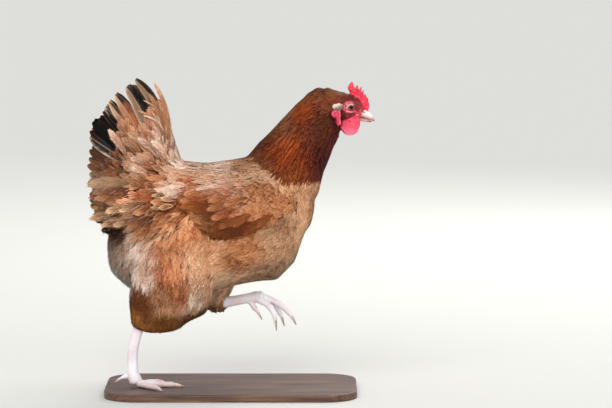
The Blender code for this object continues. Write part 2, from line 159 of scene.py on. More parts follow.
# Each place: where it is (mm forward, off the midline, above the base), which way feathers lie there, a
# feather's length and width, how deep the coat is (all mm), and the feathers' tone and how light it is there.
PLUMAGE = {
    "cape": {
        "crown": ((155, 5, 394), (-1, 0, 0.25), 3.6, 2.2, 0.6, "rosy_brown", 0.65),
        "front_of_crown": ((163, 6, 390), (-1, 0, 0.6), 2.8, 1.7, 0.5, "face_red", 1.25),
        "back_of_crown": ((147, 4, 397), (-1, 0, -0.05), 4.6, 2.6, 1.0, "cinnamon", 0.6),
        "brow": ((160, 12, 387), (-1, 0.1, 0.1), 2.8, 1.6, 0.5, "face_red", 1.15),
        "lore": ((172, 8, 381), (-1, 0.2, 0.6), 2.4, 1.2, 0.2, "face_red", 2.1),
        "behind_eye": ((150, 17, 385), (-1, 0.1, -0.1), 3.6, 2.0, 0.7, "face_red", 1.3),
        "ear": ((141, 19, 383), (-1, 0.2, -0.3), 6, 2.8, 1.4, "deep_rust", 1.05),
        "cheek": ((160, 14, 367), (-0.9, 0.1, -0.35), 3.2, 1.7, 0.4, "face_red", 1.3),
        "chin": ((160, 3, 360), (-0.9, 0, -0.4), 3.5, 2, 0.4, "face_red", 1.05),
        "jowl": ((151, 15, 364), (-0.8, 0.1, -0.6), 4.4, 2.2, 0.9, "face_red", 0.55),
        "throat": ((142, 8, 350), (-0.4, 0, -0.9), 8, 3.2, 1.8, "face_red", 0.5),
        "nape": ((122, 7, 399), (-0.95, 0, -0.3), 13, 3.8, 2.4, "deep_rust", 0.7),
        "hackle_top": ((112, 24, 374), (-0.9, 0.1, -0.4), 20, 4.2, 4.0, "bright_chestnut", 0.9),
        "hackle_behind_ear": ((130, 20, 362), (-0.7, 0.15, -0.75), 12, 3.6, 3, "deep_rust", 0.45),
        "hackle_nape_low": ((82, 8, 366), (-0.75, 0, -0.65), 28, 5.0, 5, "rust", 0.6),
        "hackle_middle": ((86, 37, 334), (-0.55, 0.1, -0.85), 34, 5.2, 6, "bright_chestnut", 1.15),
        "hackle_back": ((46, 12, 326), (-0.8, 0, -0.6), 38, 6.0, 6, "deep_rust", 0.6),
        "hackle_front": ((132, 10, 326), (-0.2, 0, -1), 26, 5.0, 5, "face_red", 0.5),
        "hackle_edge_side": ((93, 44, 300), (-0.35, 0.1, -0.95), 38, 5.8, 6, "chestnut", 0.95),
        "hackle_edge_back": ((46, 32, 312), (-0.8, 0.1, -0.55), 40, 6.2, 6, "deep_rust", 0.6),
        "hackle_edge_front": ((123, 12, 296), (-0.25, 0, -1), 30, 5.6, 5, "face_red", 0.75),
    },
    "wing": {
        "shoulder": ((72, 60, 252), (-0.85, 0.1, -0.5), 14, 7.5, 4, "cinnamon", 1),
        "scapulars": ((48, 66, 266), (-0.9, 0, -0.45), 15, 7.5, 4, "cinnamon", 0.9),
        "scapulars_rear": ((20, 70, 272), (-0.96, 0, -0.3), 20, 8.5, 4, "rosy_brown", 1.35),
        "small_coverts": ((52, 72, 240), (-0.9, 0.05, -0.45), 14, 7.5, 3.5, "rust", 1.2),
        "small_coverts_low": ((60, 68, 222), (-0.9, 0.05, -0.45), 15, 8, 3.5, "rust", 0.8),
        "coverts": ((8, 80, 242), (-0.94, 0, -0.3), 21, 9.5, 3.5, "cinnamon", 1.05),
        "coverts_rear": ((-30, 78, 240), (-0.97, 0, -0.15), 26, 10, 3.5, "cinnamon", 0.85),
        "rear": ((-56, 74, 250), (-1, 0, 0.05), 34, 11, 3.5, "umber", 1),
        "top": ((-28, 72, 264), (-1, 0, -0.02), 30, 8, 4, "rust", 1.05),
        "top_rim": ((-30, 68, 276), (-1, 0, -0.08), 26, 6, 4, "rosy_brown", 0.95),
        "low_rear": ((-30, 78, 220), (-0.95, 0, -0.15), 24, 11, 3.5, "umber", 0.85),
        "low": ((-4, 76, 208), (-0.94, 0, -0.25), 22, 11, 3.5, "umber", 0.75),
        "low_front": ((36, 70, 212), (-0.92, 0, -0.35), 20, 10, 3.5, "deep_rust", 1.1),
    },
    "body": {
        # back and saddle: their pale streaks are partly painted sheen, the whitish shine of light along the
        # back
        "shoulders": ((30, 26, 300), (-1, 0, 0), 20, 6.2, 6, "golden_buff", 0.7),
        "back_front": ((24, 46, 284), (-0.97, 0.05, -0.25), 18, 6.4, 6, "fawn", 0.9),
        "back_high": ((-2, 26, 297), (-1, 0, 0.02), 20, 6.2, 6, "rosy_cream", 0.95),
        "back": ((-20, 40, 288), (-1, 0, -0.05), 20, 6.6, 6, "fawn", 1),
        "spine": ((-20, 0, 303), (-1, 0, 0.02), 24, 8, 6, "rosy_cream", 1.05),
        "saddle": ((-54, 16, 302), (-0.95, 0, 0.25), 27, 8, 6, "cream", 1.15),
        "saddle_side": ((-48, 54, 276), (-0.98, 0.05, -0.1), 24, 8.5, 7, "deep_rust", 2.1),
        "saddle_rear": ((-64, 42, 292), (-0.9, 0.05, 0.3), 25, 9, 7, "fawn", 1.05),
        "rump_high": ((-86, 48, 286), (-0.9, 0.1, 0.3), 27, 11, 8, "rust", 1.25),
        "rump_tuft": ((-68, 60, 274), (-0.8, 0.15, 0.2), 24, 11, 8, "cream", 1.3),
        "rump_tuft_low": ((-80, 62, 260), (-0.8, 0.15, 0.1), 26, 11, 8, "tipped_cinnamon", 1.8),
        "rump": ((-98, 58, 262), (-0.9, 0.1, 0.15), 28, 11, 8, "deep_rust", 1.45),
        "rump_low": ((-76, 64, 238), (-0.75, 0.1, -0.6), 28, 11, 8, "cinnamon", 1.15),
        "rump_lower": ((-100, 60, 228), (-0.85, 0.1, -0.5), 28, 12, 8, "cinnamon", 0.8),
        # breast, flank and belly
        "breast_top": ((116, 14, 262), (-0.2, 0, -1), 15, 7, 6, "golden_buff", 1.15),
        "breast_side": ((92, 46, 256), (-0.4, 0.1, -0.9), 16, 7.5, 6, "golden_buff", 1.05),
        "breast": ((100, 30, 222), (-0.45, 0, -0.9), 17, 8, 6, "golden_buff", 1.4),
        "breast_middle": ((108, 0, 222), (-0.35, 0, -1), 17, 8, 6, "buff", 1.05),
        "breast_beside_wing": ((84, 54, 232), (-0.6, 0.05, -0.8), 16, 8, 6, "golden_buff", 0.7),
        "breast_flank": ((74, 48, 206), (-0.65, 0.05, -0.75), 18, 8.5, 6, "golden_buff", 0.8),
        "breast_low": ((66, 34, 160), (-0.85, 0, -0.45), 19, 9, 7, "fawn", 0.7),
        "keel_front": ((86, 14, 166), (-0.7, 0, -0.7), 19, 9, 7, "buff", 0.9),
        "flank_high": ((30, 64, 196), (-0.9, 0.05, -0.4), 20, 9, 7, "cinnamon", 1.2),
        "flank": ((20, 62, 180), (-0.95, 0.05, -0.25), 22, 10, 7, "cinnamon", 0.95),
        "flank_rear": ((-16, 66, 180), (-0.9, 0.05, -0.3), 24, 10, 7, "golden_buff", 1.4),
        "flank_fold": ((-18, 67, 158), (-0.85, 0, -0.5), 24, 10, 7, "fawn", 1.35),
        "belly_side": ((12, 42, 148), (-1, 0, -0.1), 24, 10, 7, "buff", 1.2),
        "belly": ((10, 0, 137), (-1, 0, -0.05), 24, 11, 7, "buff", 1.2),
        # thighs
        "thigh_crest": ((-56, 80, 226), (-0.3, 0, -0.95), 24, 11, 8, "cinnamon", 1.4),
        "thigh_crest_rear": ((-80, 80, 229), (-0.4, 0, -0.92), 24, 11, 8, "fawn", 1.55),
        "thigh_lap": ((-36, 84, 212), (-0.15, 0, -0.95), 22, 11, 8, "golden_buff", 1.3),
        "thigh_top": ((-80, 80, 216), (-0.3, 0, -0.95), 26, 12, 9, "cinnamon", 1.2),
        "thigh": ((-76, 84, 178), (-0.15, 0, -1), 28, 13, 9, "rust", 1.5),
        "thigh_front": ((-38, 76, 180), (-0.1, 0, -1), 26, 12, 8, "fawn", 1.65),
        "thigh_front_low": ((-42, 70, 146), (-0.1, 0, -1), 26, 12, 8, "rosy_cream", 1.4),
        "thigh_rear": ((-118, 76, 172), (-0.3, 0, -0.95), 28, 13, 9, "cream", 1.15),
        "thigh_rear_pale": ((-119, 76, 203), (-0.4, 0, -0.9), 28, 13, 9, "cream", 1.2),
        "thigh_rust": ((-61, 80, 148), (-0.1, 0, -1), 26, 12, 8, "rust", 1.05),
        "thigh_low": ((-84, 74, 134), (-0.1, 0, -1), 24, 12, 8, "golden_buff", 0.9),
        "thigh_low_rear": ((-114, 64, 136), (-0.2, 0, -1), 24, 12, 8, "walnut", 0.75),
        "hock": ((-84, 54, 100), (-0.3, 0, -1), 15, 8, 6, "hock_brown", 0.8),
        "hock_band": ((-104, 52, 92), (-0.3, 0, -1), 14, 8, 6, "hock_brown", 1.1),
        "hock_front": ((-42, 44, 108), (-0.2, 0, -1), 15, 8, 6, "hock_brown", 0.55),
        "hock_rear": ((-128, 44, 106), (-0.3, 0, -1), 15, 8, 6, "hock_brown", 1.3),
        "inner_thigh": ((-60, 24, 118), (-0.4, 0, -0.9), 22, 11, 7, "fawn", 0.9),
        # rear
        "vent": ((-160, 20, 178), (-0.5, 0, -0.9), 28, 13, 8, "grey_down", 1.1),
        "vent_side": ((-148, 46, 190), (-0.5, 0.1, -0.8), 28, 13, 8, "cream", 0.5),
        "vent_low": ((-140, 16, 142), (-0.3, 0, -0.95), 26, 12, 8, "grey_down", 1.1),
        "under_rear": ((-85, 0, 124), (-0.8, 0, -0.35), 26, 12, 8, "buff", 0.75),
        # tail coverts; the shadow_brown tone of the lowest coverts and fan feathers is partly their own dark
        # brown and partly painted shade under the tail
        "coverts_low": ((-140, 52, 228), (-0.92, 0.1, -0.42), 27, 11, 6, "shadow_brown", 0.2),
        "coverts_side": ((-124, 54, 262), (-0.99, 0.1, 0.05), 30, 12, 7, "tipped_cinnamon", 1.35),
        "coverts_pale": ((-120, 50, 292), (-0.9, 0.1, 0.4), 28, 12, 7, "fawn", 0.9),
        "coverts_middle": ((-134, 44, 300), (-0.85, 0.1, 0.5), 30, 12, 6, "rust", 0.7),
        "coverts_rust": ((-142, 46, 280), (-0.95, 0.1, 0.2), 24, 10, 6, "rust", 0.65),
        "coverts_high": ((-104, 26, 336), (-0.45, 0.05, 0.88), 32, 9, 5, "rosy_brown", 1.3),
        "coverts_streaked": ((-122, 34, 332), (-0.6, 0.05, 0.8), 30, 10, 5, "tipped_cinnamon", 1),
        "coverts_front": ((-78, 16, 322), (-0.4, 0, 0.9), 30, 8, 5, "rosy_cream", 1.05),
        "coverts_tip": ((-94, 8, 374), (-0.2, 0, 0.98), 30, 7, 3, "cinnamon", 1),
        "fan_high": ((-116, 16, 368), (-0.4, 0, 0.9), 30, 8, 4, "tipped_cinnamon", 0.9),
        "fan_rust": ((-136, 26, 354), (-0.6, 0, 0.8), 28, 9, 4, "golden_buff", 0.85),
        "fan_pale": ((-146, 32, 336), (-0.72, 0, 0.7), 28, 10, 4, "fawn", 0.8),
        "fan_middle": ((-158, 38, 312), (-0.88, 0, 0.45), 28, 11, 4, "rosy_brown", 0.45),
        "fan_brown": ((-166, 42, 294), (-0.97, 0, 0.22), 26, 11, 4, "rosy_brown", 0.35),
        "fan_tan": ((-170, 46, 272), (-1, 0, 0.02), 28, 13, 4, "rosy_cream", 0.6),
        "fan_low": ((-166, 49, 252), (-0.97, 0, -0.2), 26, 12, 4, "shadow_brown", 0.65),
        "fan_lowest": ((-156, 52, 230), (-0.9, 0, -0.42), 24, 10, 4, "shadow_brown", 0.35),
    },
}


def feather_colours(shades):
    """The middle, pale and dark colours for a list of tones, each with how light it is."""
    lit = [[np.minimum(linear(colour) * light, 1) for colour in TONES[tone]] for tone, light in shades]
    return [np.array(colours) for colours in zip(*lit)]


ROWS = [row for places in PLUMAGE.values() for row in places.values()]
MEASURES = ("at", "lie", "length", "width", "depth")
PLACES = {name: np.array([row[k] for row in ROWS], float) for k, name in enumerate(MEASURES)}
PLACES["part"] = np.array([part for part, places in PLUMAGE.items() for _ in places])
PLACES["lie"] = unit(PLACES["lie"])
for measure in ("length", "width", "depth"):
    PLACES[measure] *= MM
PLACES["tint"], PLACES["pale"], PLACES["dark"] = feather_colours([row[5:] for row in ROWS])
BLEND_WITHIN = 4  # mm from a place, nearer than which it has little more say
FALL_OFF = 2.5  # how steeply a place's say falls with the square of the distance


def map_at(points, *wanted, part=None):
    """The wanted columns of the map at the points, blended from the nearest places. Both sides are alike.

    part keeps to the places of one part of the plumage, which ends sharply at the next.
    """
    used = np.ones(len(ROWS), bool) if part is None else PLACES["part"] == part
    mm = mm_of(points)
    side = np.where(mm[:, 1] < 0, -1.0, 1.0)
    mm[:, 1] = abs(mm[:, 1])
    away = ((mm[:, None] - PLACES["at"][used][None]) ** 2).sum(-1)
    weight = 1 / (away + BLEND_WITHIN**2) ** FALL_OFF
    weight /= weight.sum(axis=1, keepdims=True)
    found = []
    for name in wanted:
        values = weight @ PLACES[name][used]
        if name == "lie":
            values[:, 1] *= side
            values = unit(values)
        found.append(values)
    return found if len(found) > 1 else found[0]


RIPPLES = 7  # waves that cross in all ways


def ripple(points, size, seed=0):
    """A smooth, patchy value from -1 to 1 at each point, with patches about that size in metres."""
    waves = np.random.default_rng(seed)
    total = np.zeros(len(points))
    for _ in range(RIPPLES):
        along = unit(waves.normal(size=3)) * waves.uniform(0.7, 1.6) * math.pi / size
        total += np.sin(points @ along + waves.uniform(0, 6.3))
    return np.clip(total / 3.2, -1, 1)


# ---- surfaces ----


GROWN = 0.35  # mm by which the skin is laid over the solids, unless a node has its own number


def fused(nodes, voxel, smoothing, grow=None, cuts=None, flesh=()):
    """Points and triangles of the nodes' solids and other flesh, fused into one skin of that voxel size.

    grow holds how far a node is grown, in mm, and cuts the plane that a node is cut by: a point, and the way
    of what is kept.
    """
    shell = bmesh.new()
    for name in nodes:
        piece = bmesh.new()
        piece.from_mesh(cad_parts[name].data)
        bmesh.ops.remove_doubles(piece, verts=piece.verts, dist=0.01 * MM)
        bmesh.ops.recalc_face_normals(piece, faces=piece.faces)
        if name in (cuts or {}):
            whole = piece.verts[:] + piece.edges[:] + piece.faces[:]
            point, way = cuts[name]
            bmesh.ops.bisect_plane(piece, geom=whole, plane_co=point, plane_no=way, clear_inner=True)
            bmesh.ops.holes_fill(piece, edges=piece.edges)
        piece.normal_update()
        for vertex in piece.verts:
            vertex.co += vertex.normal * (grow or {}).get(name, GROWN) * MM
        add_to(shell, piece)
    for points, faces in flesh:
        piece = bmesh.new()
        verts = [piece.verts.new(point) for point in points]
        for face in faces:
            piece.faces.new([verts[k] for k in face])
        bmesh.ops.recalc_face_normals(piece, faces=piece.faces)
        add_to(shell, piece)
    mesh = bpy.data.meshes.new("fused")
    shell.to_mesh(mesh)
    shell.free()
    body = add_object("fused", mesh)
    remesh = body.modifiers.new("one skin", "REMESH")
    remesh.mode = "VOXEL"
    remesh.voxel_size = voxel
    remesh.adaptivity = 0
    soften = body.modifiers.new("soften", "SMOOTH")
    soften.factor = 0.5
    soften.iterations = smoothing
    ready = bpy.data.meshes.new_from_object(body.evaluated_get(bpy.context.evaluated_depsgraph_get()))
    bpy.data.objects.remove(body)
    return largest_shell(*mesh_arrays(ready))


def add_to(shell, piece):
    """Adds one closed piece to the shell that is being put together."""
    mesh = bpy.data.meshes.new("piece")
    piece.to_mesh(mesh)
    piece.free()
    shell.from_mesh(mesh)
    bpy.data.meshes.remove(mesh)


def largest_shell(points, faces):
    """The largest connected part of a mesh."""
    label = np.arange(len(points))
    while True:
        lowest = label[faces].min(axis=1)
        after = label.copy()
        for corner in range(3):
            np.minimum.at(after, faces[:, corner], lowest)
        after = after[after]
        if (after == label).all():
            break
        label = after
    names, counts = np.unique(label, return_counts=True)
    kept = label == names[counts.argmax()]
    faces = faces[kept[faces].all(axis=1)]
    order = np.cumsum(kept) - 1
    return points[kept], order[faces]


def solid_of(name):
    """The points and triangles of a node's solid."""
    return mesh_arrays(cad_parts[name].data)


def normals_of(points, faces):
    """The smooth normal at each point."""
    a, b, c = (points[faces[:, k]] for k in range(3))
    flat = np.cross(b - a, c - a)
    total = np.zeros_like(points)
    for corner in range(3):
        np.add.at(total, faces[:, corner], flat)
    return unit(total)


TRIES = 4  # roots tried for each feather, of which those that keep their distance stay


class Hide:
    """A closed surface that feathers are laid on, and the place of its triangles on the OFBake map."""

    def __init__(self, points, faces):
        self.points, self.faces = points, faces
        self.normals = normals_of(points, faces)
        self.tree = BVHTree.FromPolygons(points.tolist(), faces.tolist())
        self.map = None

    def nearest(self, points):
        """The place on the hide nearest to each point: where it is, its triangle and the normal there."""
        hits = [self.tree.find_nearest(point) for point in points.tolist()]
        at = np.array([tuple(hit[0]) for hit in hits])
        which = np.array([hit[2] for hit in hits])
        shares = self.shares(at, which)
        return at, which, unit((self.normals[self.faces[which]] * shares[..., None]).sum(axis=1))

    def shares(self, at, which):
        """How far each point belongs to each of its triangle's three corners."""
        a, b, c = (self.points[self.faces[which, k]] for k in range(3))
        whole = np.cross(b - a, c - a)
        area = np.maximum((whole**2).sum(-1), 1e-20)
        second = (np.cross(at - a, c - a) * whole).sum(-1) / area
        third = (np.cross(b - a, at - a) * whole).sum(-1) / area
        return np.stack([1 - second - third, second, third], axis=1)

    def on_map(self, points):
        """Where the nearest place on the hide to each point is on the OFBake map."""
        at, which, _ = self.nearest(points)
        return (self.map[which] * self.shares(at, which)[..., None]).sum(axis=1)

    def sow(self, chosen, part, close=0.3):
        """Feather roots spread evenly over the chosen triangles, closer where feathers are small."""
        a, b, c = (self.points[self.faces[chosen, k]] for k in range(3))
        length, width = map_at((a + b + c) / 3, "length", "width", part=part)
        gap = np.sqrt(length * width) * close
        area = np.linalg.norm(np.cross(b - a, c - a), axis=1) / 2
        which = np.repeat(np.arange(len(a)), chance.poisson(area / gap**2 * TRIES))
        u, v = chance.random((2, len(which)))
        flip = u + v > 1
        u, v = np.where(flip, 1 - u, u), np.where(flip, 1 - v, v)
        at = a[which] + (b - a)[which] * u[:, None] + (c - a)[which] * v[:, None]
        near = kdtree.KDTree(len(at))
        for index, point in enumerate(at.tolist()):
            near.insert(point, index)
        near.balance()
        gone = np.zeros(len(at), bool)
        kept = []
        for index in chance.permutation(len(at)):
            if gone[index]:
                continue
            kept.append(index)
            for _, other, _ in near.find_range(at[index].tolist(), gap[which[index]]):
                gone[other] = True
        return at[kept]


# ---- feathers ----


class Batch:
    """Feathers that will be one piece of the coat."""

    def __init__(self):
        self.points, self.quads, self.tints, self.vanes, self.maps = [], [], [], [], []
        self.count = 0

    def add(self, points, quads, tints, vanes, maps):
        self.points.append(points.reshape(-1, 3))
        self.quads.append(quads.reshape(-1, 4) + self.count)
        self.tints.append(np.clip(tints.reshape(-1, 3), 0, 1))
        self.vanes.append(vanes.reshape(-1, 3))
        self.maps.append(maps.reshape(-1, 2))
        self.count += len(self.points[-1])


# Shapes of vane: the half width at the root, how fast it widens, and where along the shaft the tip's curve
# starts and how long it is. A lance narrows all the way to its tip.
VANE_SHAPES = {
    "quill": (0.32, 1.5, 0.72, 0.285),
    "spoon": (0.25, 1.25, 0.62, 0.385),
    "round": (0.3, 1.7, 0.5, 0.505),
}


def outline(shape, t):
    """A vane's half width along its shaft, as a share of the widest, from its root at 0 to its tip at 1."""
    if shape == "lance":
        return np.minimum(0.35 + 2.2 * t, 1) * np.clip(1.06 - t, 0, 1) ** 0.62
    root, widening, tip_start, tip_length = VANE_SHAPES[shape]
    in_tip = np.clip(t - tip_start, 0, 1) / tip_length
    return np.minimum(root + widening * t, 1) * np.sqrt(np.clip(1 - in_tip**2, 0, 1))


def grid_quads(feathers, along, across):
    """The faces of that many grids of points, one for each feather."""
    corner = np.arange(along - 1)[:, None] * across + np.arange(across - 1)[None]
    one = np.stack([corner, corner + 1, corner + 1 + across, corner + across], axis=-1).reshape(-1, 4)
    return one[None] + (np.arange(feathers) * along * across)[:, None, None]


class Feathers:
    """Feathers with led shafts. t runs along a shaft from 0 to 1, and s across a vane from -1 to 1."""

    def __init__(self, shaft, facing, length, width, colours, maps, shape, fore=0.5):
        self.shaft, self.length, self.width = shaft, length, width
        self.along = unit(np.gradient(shaft, axis=1))
        self.facing = unit(facing - self.along * (facing * self.along).sum(-1, keepdims=True))
        self.across = np.cross(self.along, self.facing)
        self.tint, self.pale, self.dark = colours
        self.maps, self.shape = maps, shape
        self.fore = np.broadcast_to(fore, length.shape)
        self.key = chance.uniform(0, 1, len(shaft))
        self.pattern = None

    def column(self, values, t):
        """Each feather's own value or colour, shaped to go with t."""
        return values.reshape((len(values),) + (1,) * (t.ndim - 1) + values.shape[1:])

    def reach(self, t, s):
        """The vane's width from the shaft to its edge at t, on the side of s."""
        share = np.where(s > 0, self.column(self.fore, t), 1 - self.column(self.fore, t))
        return np.maximum(outline(self.shape, np.clip(t, 0, 1)), 0.05) * self.column(self.width, t) * share

    def at(self, t):
        """Place, way along, way across and way out at t for each feather, where t has one row for each."""
        steps = self.shaft.shape[1] - 1
        inside = np.clip(t, 0, 0.9999) * steps
        low = inside.astype(int)
        part = (inside - low)[..., None]
        rows = self.column(np.arange(len(self.shaft)), t)
        ways = (self.shaft, self.along, self.across, self.facing)
        mixed = [v[rows, low] * (1 - part) + v[rows, low + 1] * part for v in ways]
        mixed[0] = mixed[0] + mixed[1] * (np.maximum(t - 1, 0) * self.column(self.length, t))[..., None]
        return mixed

    def colour(self, t, s, edge=0.35, root=0.25, core=0.0, tip=0.6):
        """The vane's colour at t and s: darker at the root and along the shaft, paler at the rim and tip."""
        if self.pattern is not None:
            return self.pattern(t, s, self)
        tint, pale, dark = (self.column(v, t) for v in (self.tint, self.pale, self.dark))
        rim = np.clip(abs(s) ** 3 * ease(0.1, 0.5, t) * edge + ease(0.68, 1.0, t) * tip, 0, 1)[..., None]
        near_shaft = np.clip(1 - abs(s) * 2.2, 0, 1)
        shade = np.clip((1 - ease(0.0, 0.6, t)) * root + near_shaft * core, 0, 1)[..., None]
        mixed = tint + (pale - tint) * rim
        return mixed + (dark - mixed) * shade

    def vanes(self, batch, cells, ragged, camber=0.1, share=1.0, end=1.0, **markings):
        """Adds each feather's vane, bowed across, with a ragged edge.

        share is how much of the width it covers, and end how much of the length.
        """
        feathers, along = self.shaft.shape[:2]
        t = np.broadcast_to(np.linspace(0, 1, along)[None, :, None], (feathers, along, cells + 1))
        s = np.broadcast_to(np.linspace(-1, 1, cells + 1)[None, None], t.shape)
        reach = self.reach(t, s) * share
        off = reach * s * (1 + chance.uniform(-ragged, ragged * 0.6, t.shape) * abs(s))
        t = t * end
        here, _, across, facing = self.at(t[:, :, 0])
        points = here[:, :, None] + across[:, :, None] * off[..., None]
        points = points - facing[:, :, None] * (reach * camber * s**2)[..., None]
        key = np.broadcast_to(self.key[:, None, None], t.shape)
        vane = np.stack([t * self.length[:, None, None] / MM, off / MM, key], -1)
        maps = self.maps[:, None, None] + np.stack([t - 0.5, s / 2], -1) * PATCH
        batch.add(points, grid_quads(feathers, along, cells + 1), self.colour(t, s, **markings), vane, maps)

    def barbs(
        self, batch, each_side, angle, lift, thick, streak, over=0.12, spread=0.12, first=0.06, **markings
    ):
        """Adds loose barbs: narrow ribbons that leave the shaft at an angle and end about the vane's rim.

        Each has a colour of its own, which is up to streak on the way to the feather's pale or dark colour.
        """
        feathers = len(self.shaft)
        stations = np.array([0.1, 0.55, 1.0])
        start = (np.arange(each_side) + chance.uniform(0, 1, (feathers, 2, each_side))) / each_side
        start = first + start * (0.97 - first)
        side = np.array([-1.0, 1.0])[None, :, None] * np.ones(start.shape)
        slant = np.tan(np.radians(angle * chance.uniform(0.75, 1.25, start.shape)))
        length = self.column(self.length, start)
        end = start + 0.1
        for _ in range(3):
            end = np.minimum(start + self.reach(end, side) / slant / length, 0.995)
        longer = 1 + over * chance.uniform(-1, 1, start.shape)
        reach = self.reach(end, side) * longer
        run = (end - start) * longer
        t = start[..., None] + stations * run[..., None]
        off = stations * (side * reach)[..., None]
        here, along, across, out = self.at(t)
        up = lift * MM * (0.3 + stations**2 * chance.uniform(0, 1, start.shape)[..., None])
        wave = chance.normal(0, spread, start.shape)[..., None] * stations**2 * reach[..., None]
        lean = np.arctan2(reach, run * length)[..., None, None]
        sideways = across * np.cos(lean) - along * np.sin(lean) * side[..., None, None]
        middle = here + across * off[..., None] + out * up[..., None] + sideways * wave[..., None]
        half = thick * MM * np.array([0.8, 1.0, 0.25])[:, None]
        points = np.stack([middle - sideways * half, middle + sideways * half], axis=-2)
        s = stations * side[..., None]
        tints = self.colour(np.minimum(t, 1), s * 0.9, **markings)
        own = chance.normal(0, streak, start.shape)[..., None, None]
        pale, dark = self.column(self.pale, t), self.column(self.dark, t)
        tints = tints + (pale - tints) * np.clip(own, 0, 0.9) + (dark - tints) * np.clip(-own, 0, 0.9)
        tints = np.broadcast_to(tints[..., None, :], points.shape)
        key = np.broadcast_to(self.key[:, None, None, None], t.shape)
        vane = np.stack([t * length[..., None] / MM, off / MM, key], -1)
        vane = np.broadcast_to(vane[..., None, :], points.shape)
        maps = self.maps[:, None, None, None] + np.stack([np.clip(t, 0, 1) - 0.5, s / 2], -1) * PATCH
        maps = np.broadcast_to(maps[..., None, :], points.shape[:-1] + (2,))
        batch.add(points, grid_quads(feathers * 2 * each_side, len(stations), 2), tints, vane, maps)


def lead(
    hide, skin, roots, part, steps, stiff, lift, stray=6.0, sink=0.45, mottle=0.2, shape="round", limit=None
):
    """Leads a shaft along the hide from each root, the way feathers lie, out of the coat's depth.

    limit gives the longest that a feather may be at each root, in mm.
    """
    length, width, depth = map_at(roots, "length", "width", "depth", part=part)
    tint, pale, dark = map_at(roots, "tint", "pale", "dark", part=part)
    length = length * chance.uniform(0.82, 1.15, len(roots))
    if limit is not None:
        length = np.minimum(length, limit * MM * chance.uniform(0.9, 1.06, len(roots)))
    width = width * chance.uniform(0.85, 1.15, len(roots))
    point, way = roots.copy(), None
    path, faces = [], []
    for _ in range(steps + 1):
        at, _, out = hide.nearest(point)
        height = ((point - at) * out).sum(-1, keepdims=True)
        point = at + out * np.maximum(height, 0) * stiff
        path.append(point)
        faces.append(out)
        lie = map_at(point, "lie", part=part)
        if way is None:
            turn = np.radians(chance.normal(0, stray, len(roots)))[:, None]
            way = lie * np.cos(turn) + np.cross(out, lie) * np.sin(turn)
        else:
            way = unit(way * 0.7 + lie * 0.3)
        way = unit(way - out * (way * out).sum(-1, keepdims=True) * (1 - 0.5 * stiff))
        point = point + way * (length / steps)[:, None]
    shaft, facing = np.stack(path, axis=1), np.stack(faces, axis=1)
    t = np.linspace(0, 1, steps + 1)[None, :, None]
    layer = chance.uniform(-0.3, 0.4, (len(roots), 1, 1)) * MM
    under = depth[:, None, None] * (1 - ease(0, sink, t))
    raised = lift * MM * chance.uniform(0.1, 1.1, (len(roots), 1, 1)) * t**2
    shaft = shaft + facing * (layer - under + raised - 0.6 * MM)
    lot = chance.normal(0, 0.8, len(roots)) + 1.7 * ripple(roots, 0.03, 5)
    lot += 2.0 * (chance.random(len(roots)) < 0.07)  # a few feathers stand out pale
    lighter = np.clip(lot * mottle, 0, 0.85)[:, None]
    darker = np.clip(-lot * mottle, 0, 0.85)[:, None]
    colour = tint + (pale - tint) * lighter + (dark - tint) * darker
    return Feathers(shaft, facing, length, width, (colour, pale, dark), skin.on_map(roots), shape)


# ---- pieces ----


def mesh_piece(name, points, faces, tints, maps=None, vanes=None):
    """A mesh object from arrays. faces has three or four corners to a row, and tints one row to a point."""
    mesh = bpy.data.meshes.new(name)
    corners = faces.shape[1]
    mesh.vertices.add(len(points))
    mesh.vertices.foreach_set("co", points.astype(np.float32).ravel())
    mesh.loops.add(faces.size)
    mesh.loops.foreach_set("vertex_index", faces.astype(np.int32).ravel())
    mesh.polygons.add(len(faces))
    mesh.polygons.foreach_set("loop_start", np.arange(len(faces), dtype=np.int32) * corners)
    mesh.update(calc_edges=True)
    mesh.polygons.foreach_set("use_smooth", np.ones(len(faces), bool))
    mesh.color_attributes.new("tint", "FLOAT_COLOR", "POINT")
    paint(mesh, tints)
    if vanes is not None:
        vane = mesh.attributes.new("vane", "FLOAT_VECTOR", "POINT")
        vane.data.foreach_set("vector", vanes.astype(np.float32).ravel())
    if maps is not None:
        layer = mesh.uv_layers.new(name="OFBake")
        layer.data.foreach_set("uv", maps[faces].astype(np.float32).ravel())
    return add_object(name, mesh)


def paint(mesh, tints):
    """Gives each point of the mesh its tint."""
    colours = np.column_stack([tints, np.ones(len(tints))]).astype(np.float32)
    mesh.color_attributes["tint"].data.foreach_set("color", colours.ravel())


def fit(piece, material, slot, *replaced):
    """Gives the piece its material, hides the nodes that it replaces, and lets it ride on the body. slot is
    not used.
    """
    piece.data.materials.append(material)
    if replaced:
        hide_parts(*replaced)
    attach(piece, "root")


def sew(name, batch, material, slot, *replaced):
    """Makes the batch into as few pieces as the limit on triangles allows."""
    points, quads = np.concatenate(batch.points), np.concatenate(batch.quads)
    tints, vanes, maps = (np.concatenate(v) for v in (batch.tints, batch.vanes, batch.maps))
    parts = math.ceil(len(quads) * 2 / MOST_TRIANGLES)
    for number, part in enumerate(np.array_split(quads, parts)):
        used, order = np.unique(part, return_inverse=True)
        title = f"{name}_{number + 1}" if parts > 1 else name
        order = order.reshape(part.shape)
        piece = mesh_piece(title, points[used], order, tints[used], maps[used], vanes[used])
        fit(piece, material, slot, *replaced)


# ---- materials ----


def node(tree, kind, links=None, **settings):
    """Adds a node with its settings, and sets or links its inputs."""
    made = tree.nodes.new(kind)
    for name, value in settings.items():
        setattr(made, name, value)
    for name, value in (links or {}).items():
        if isinstance(value, bpy.types.NodeSocket):
            tree.links.new(value, made.inputs[name])
        else:
            made.inputs[name].default_value = value
    return made


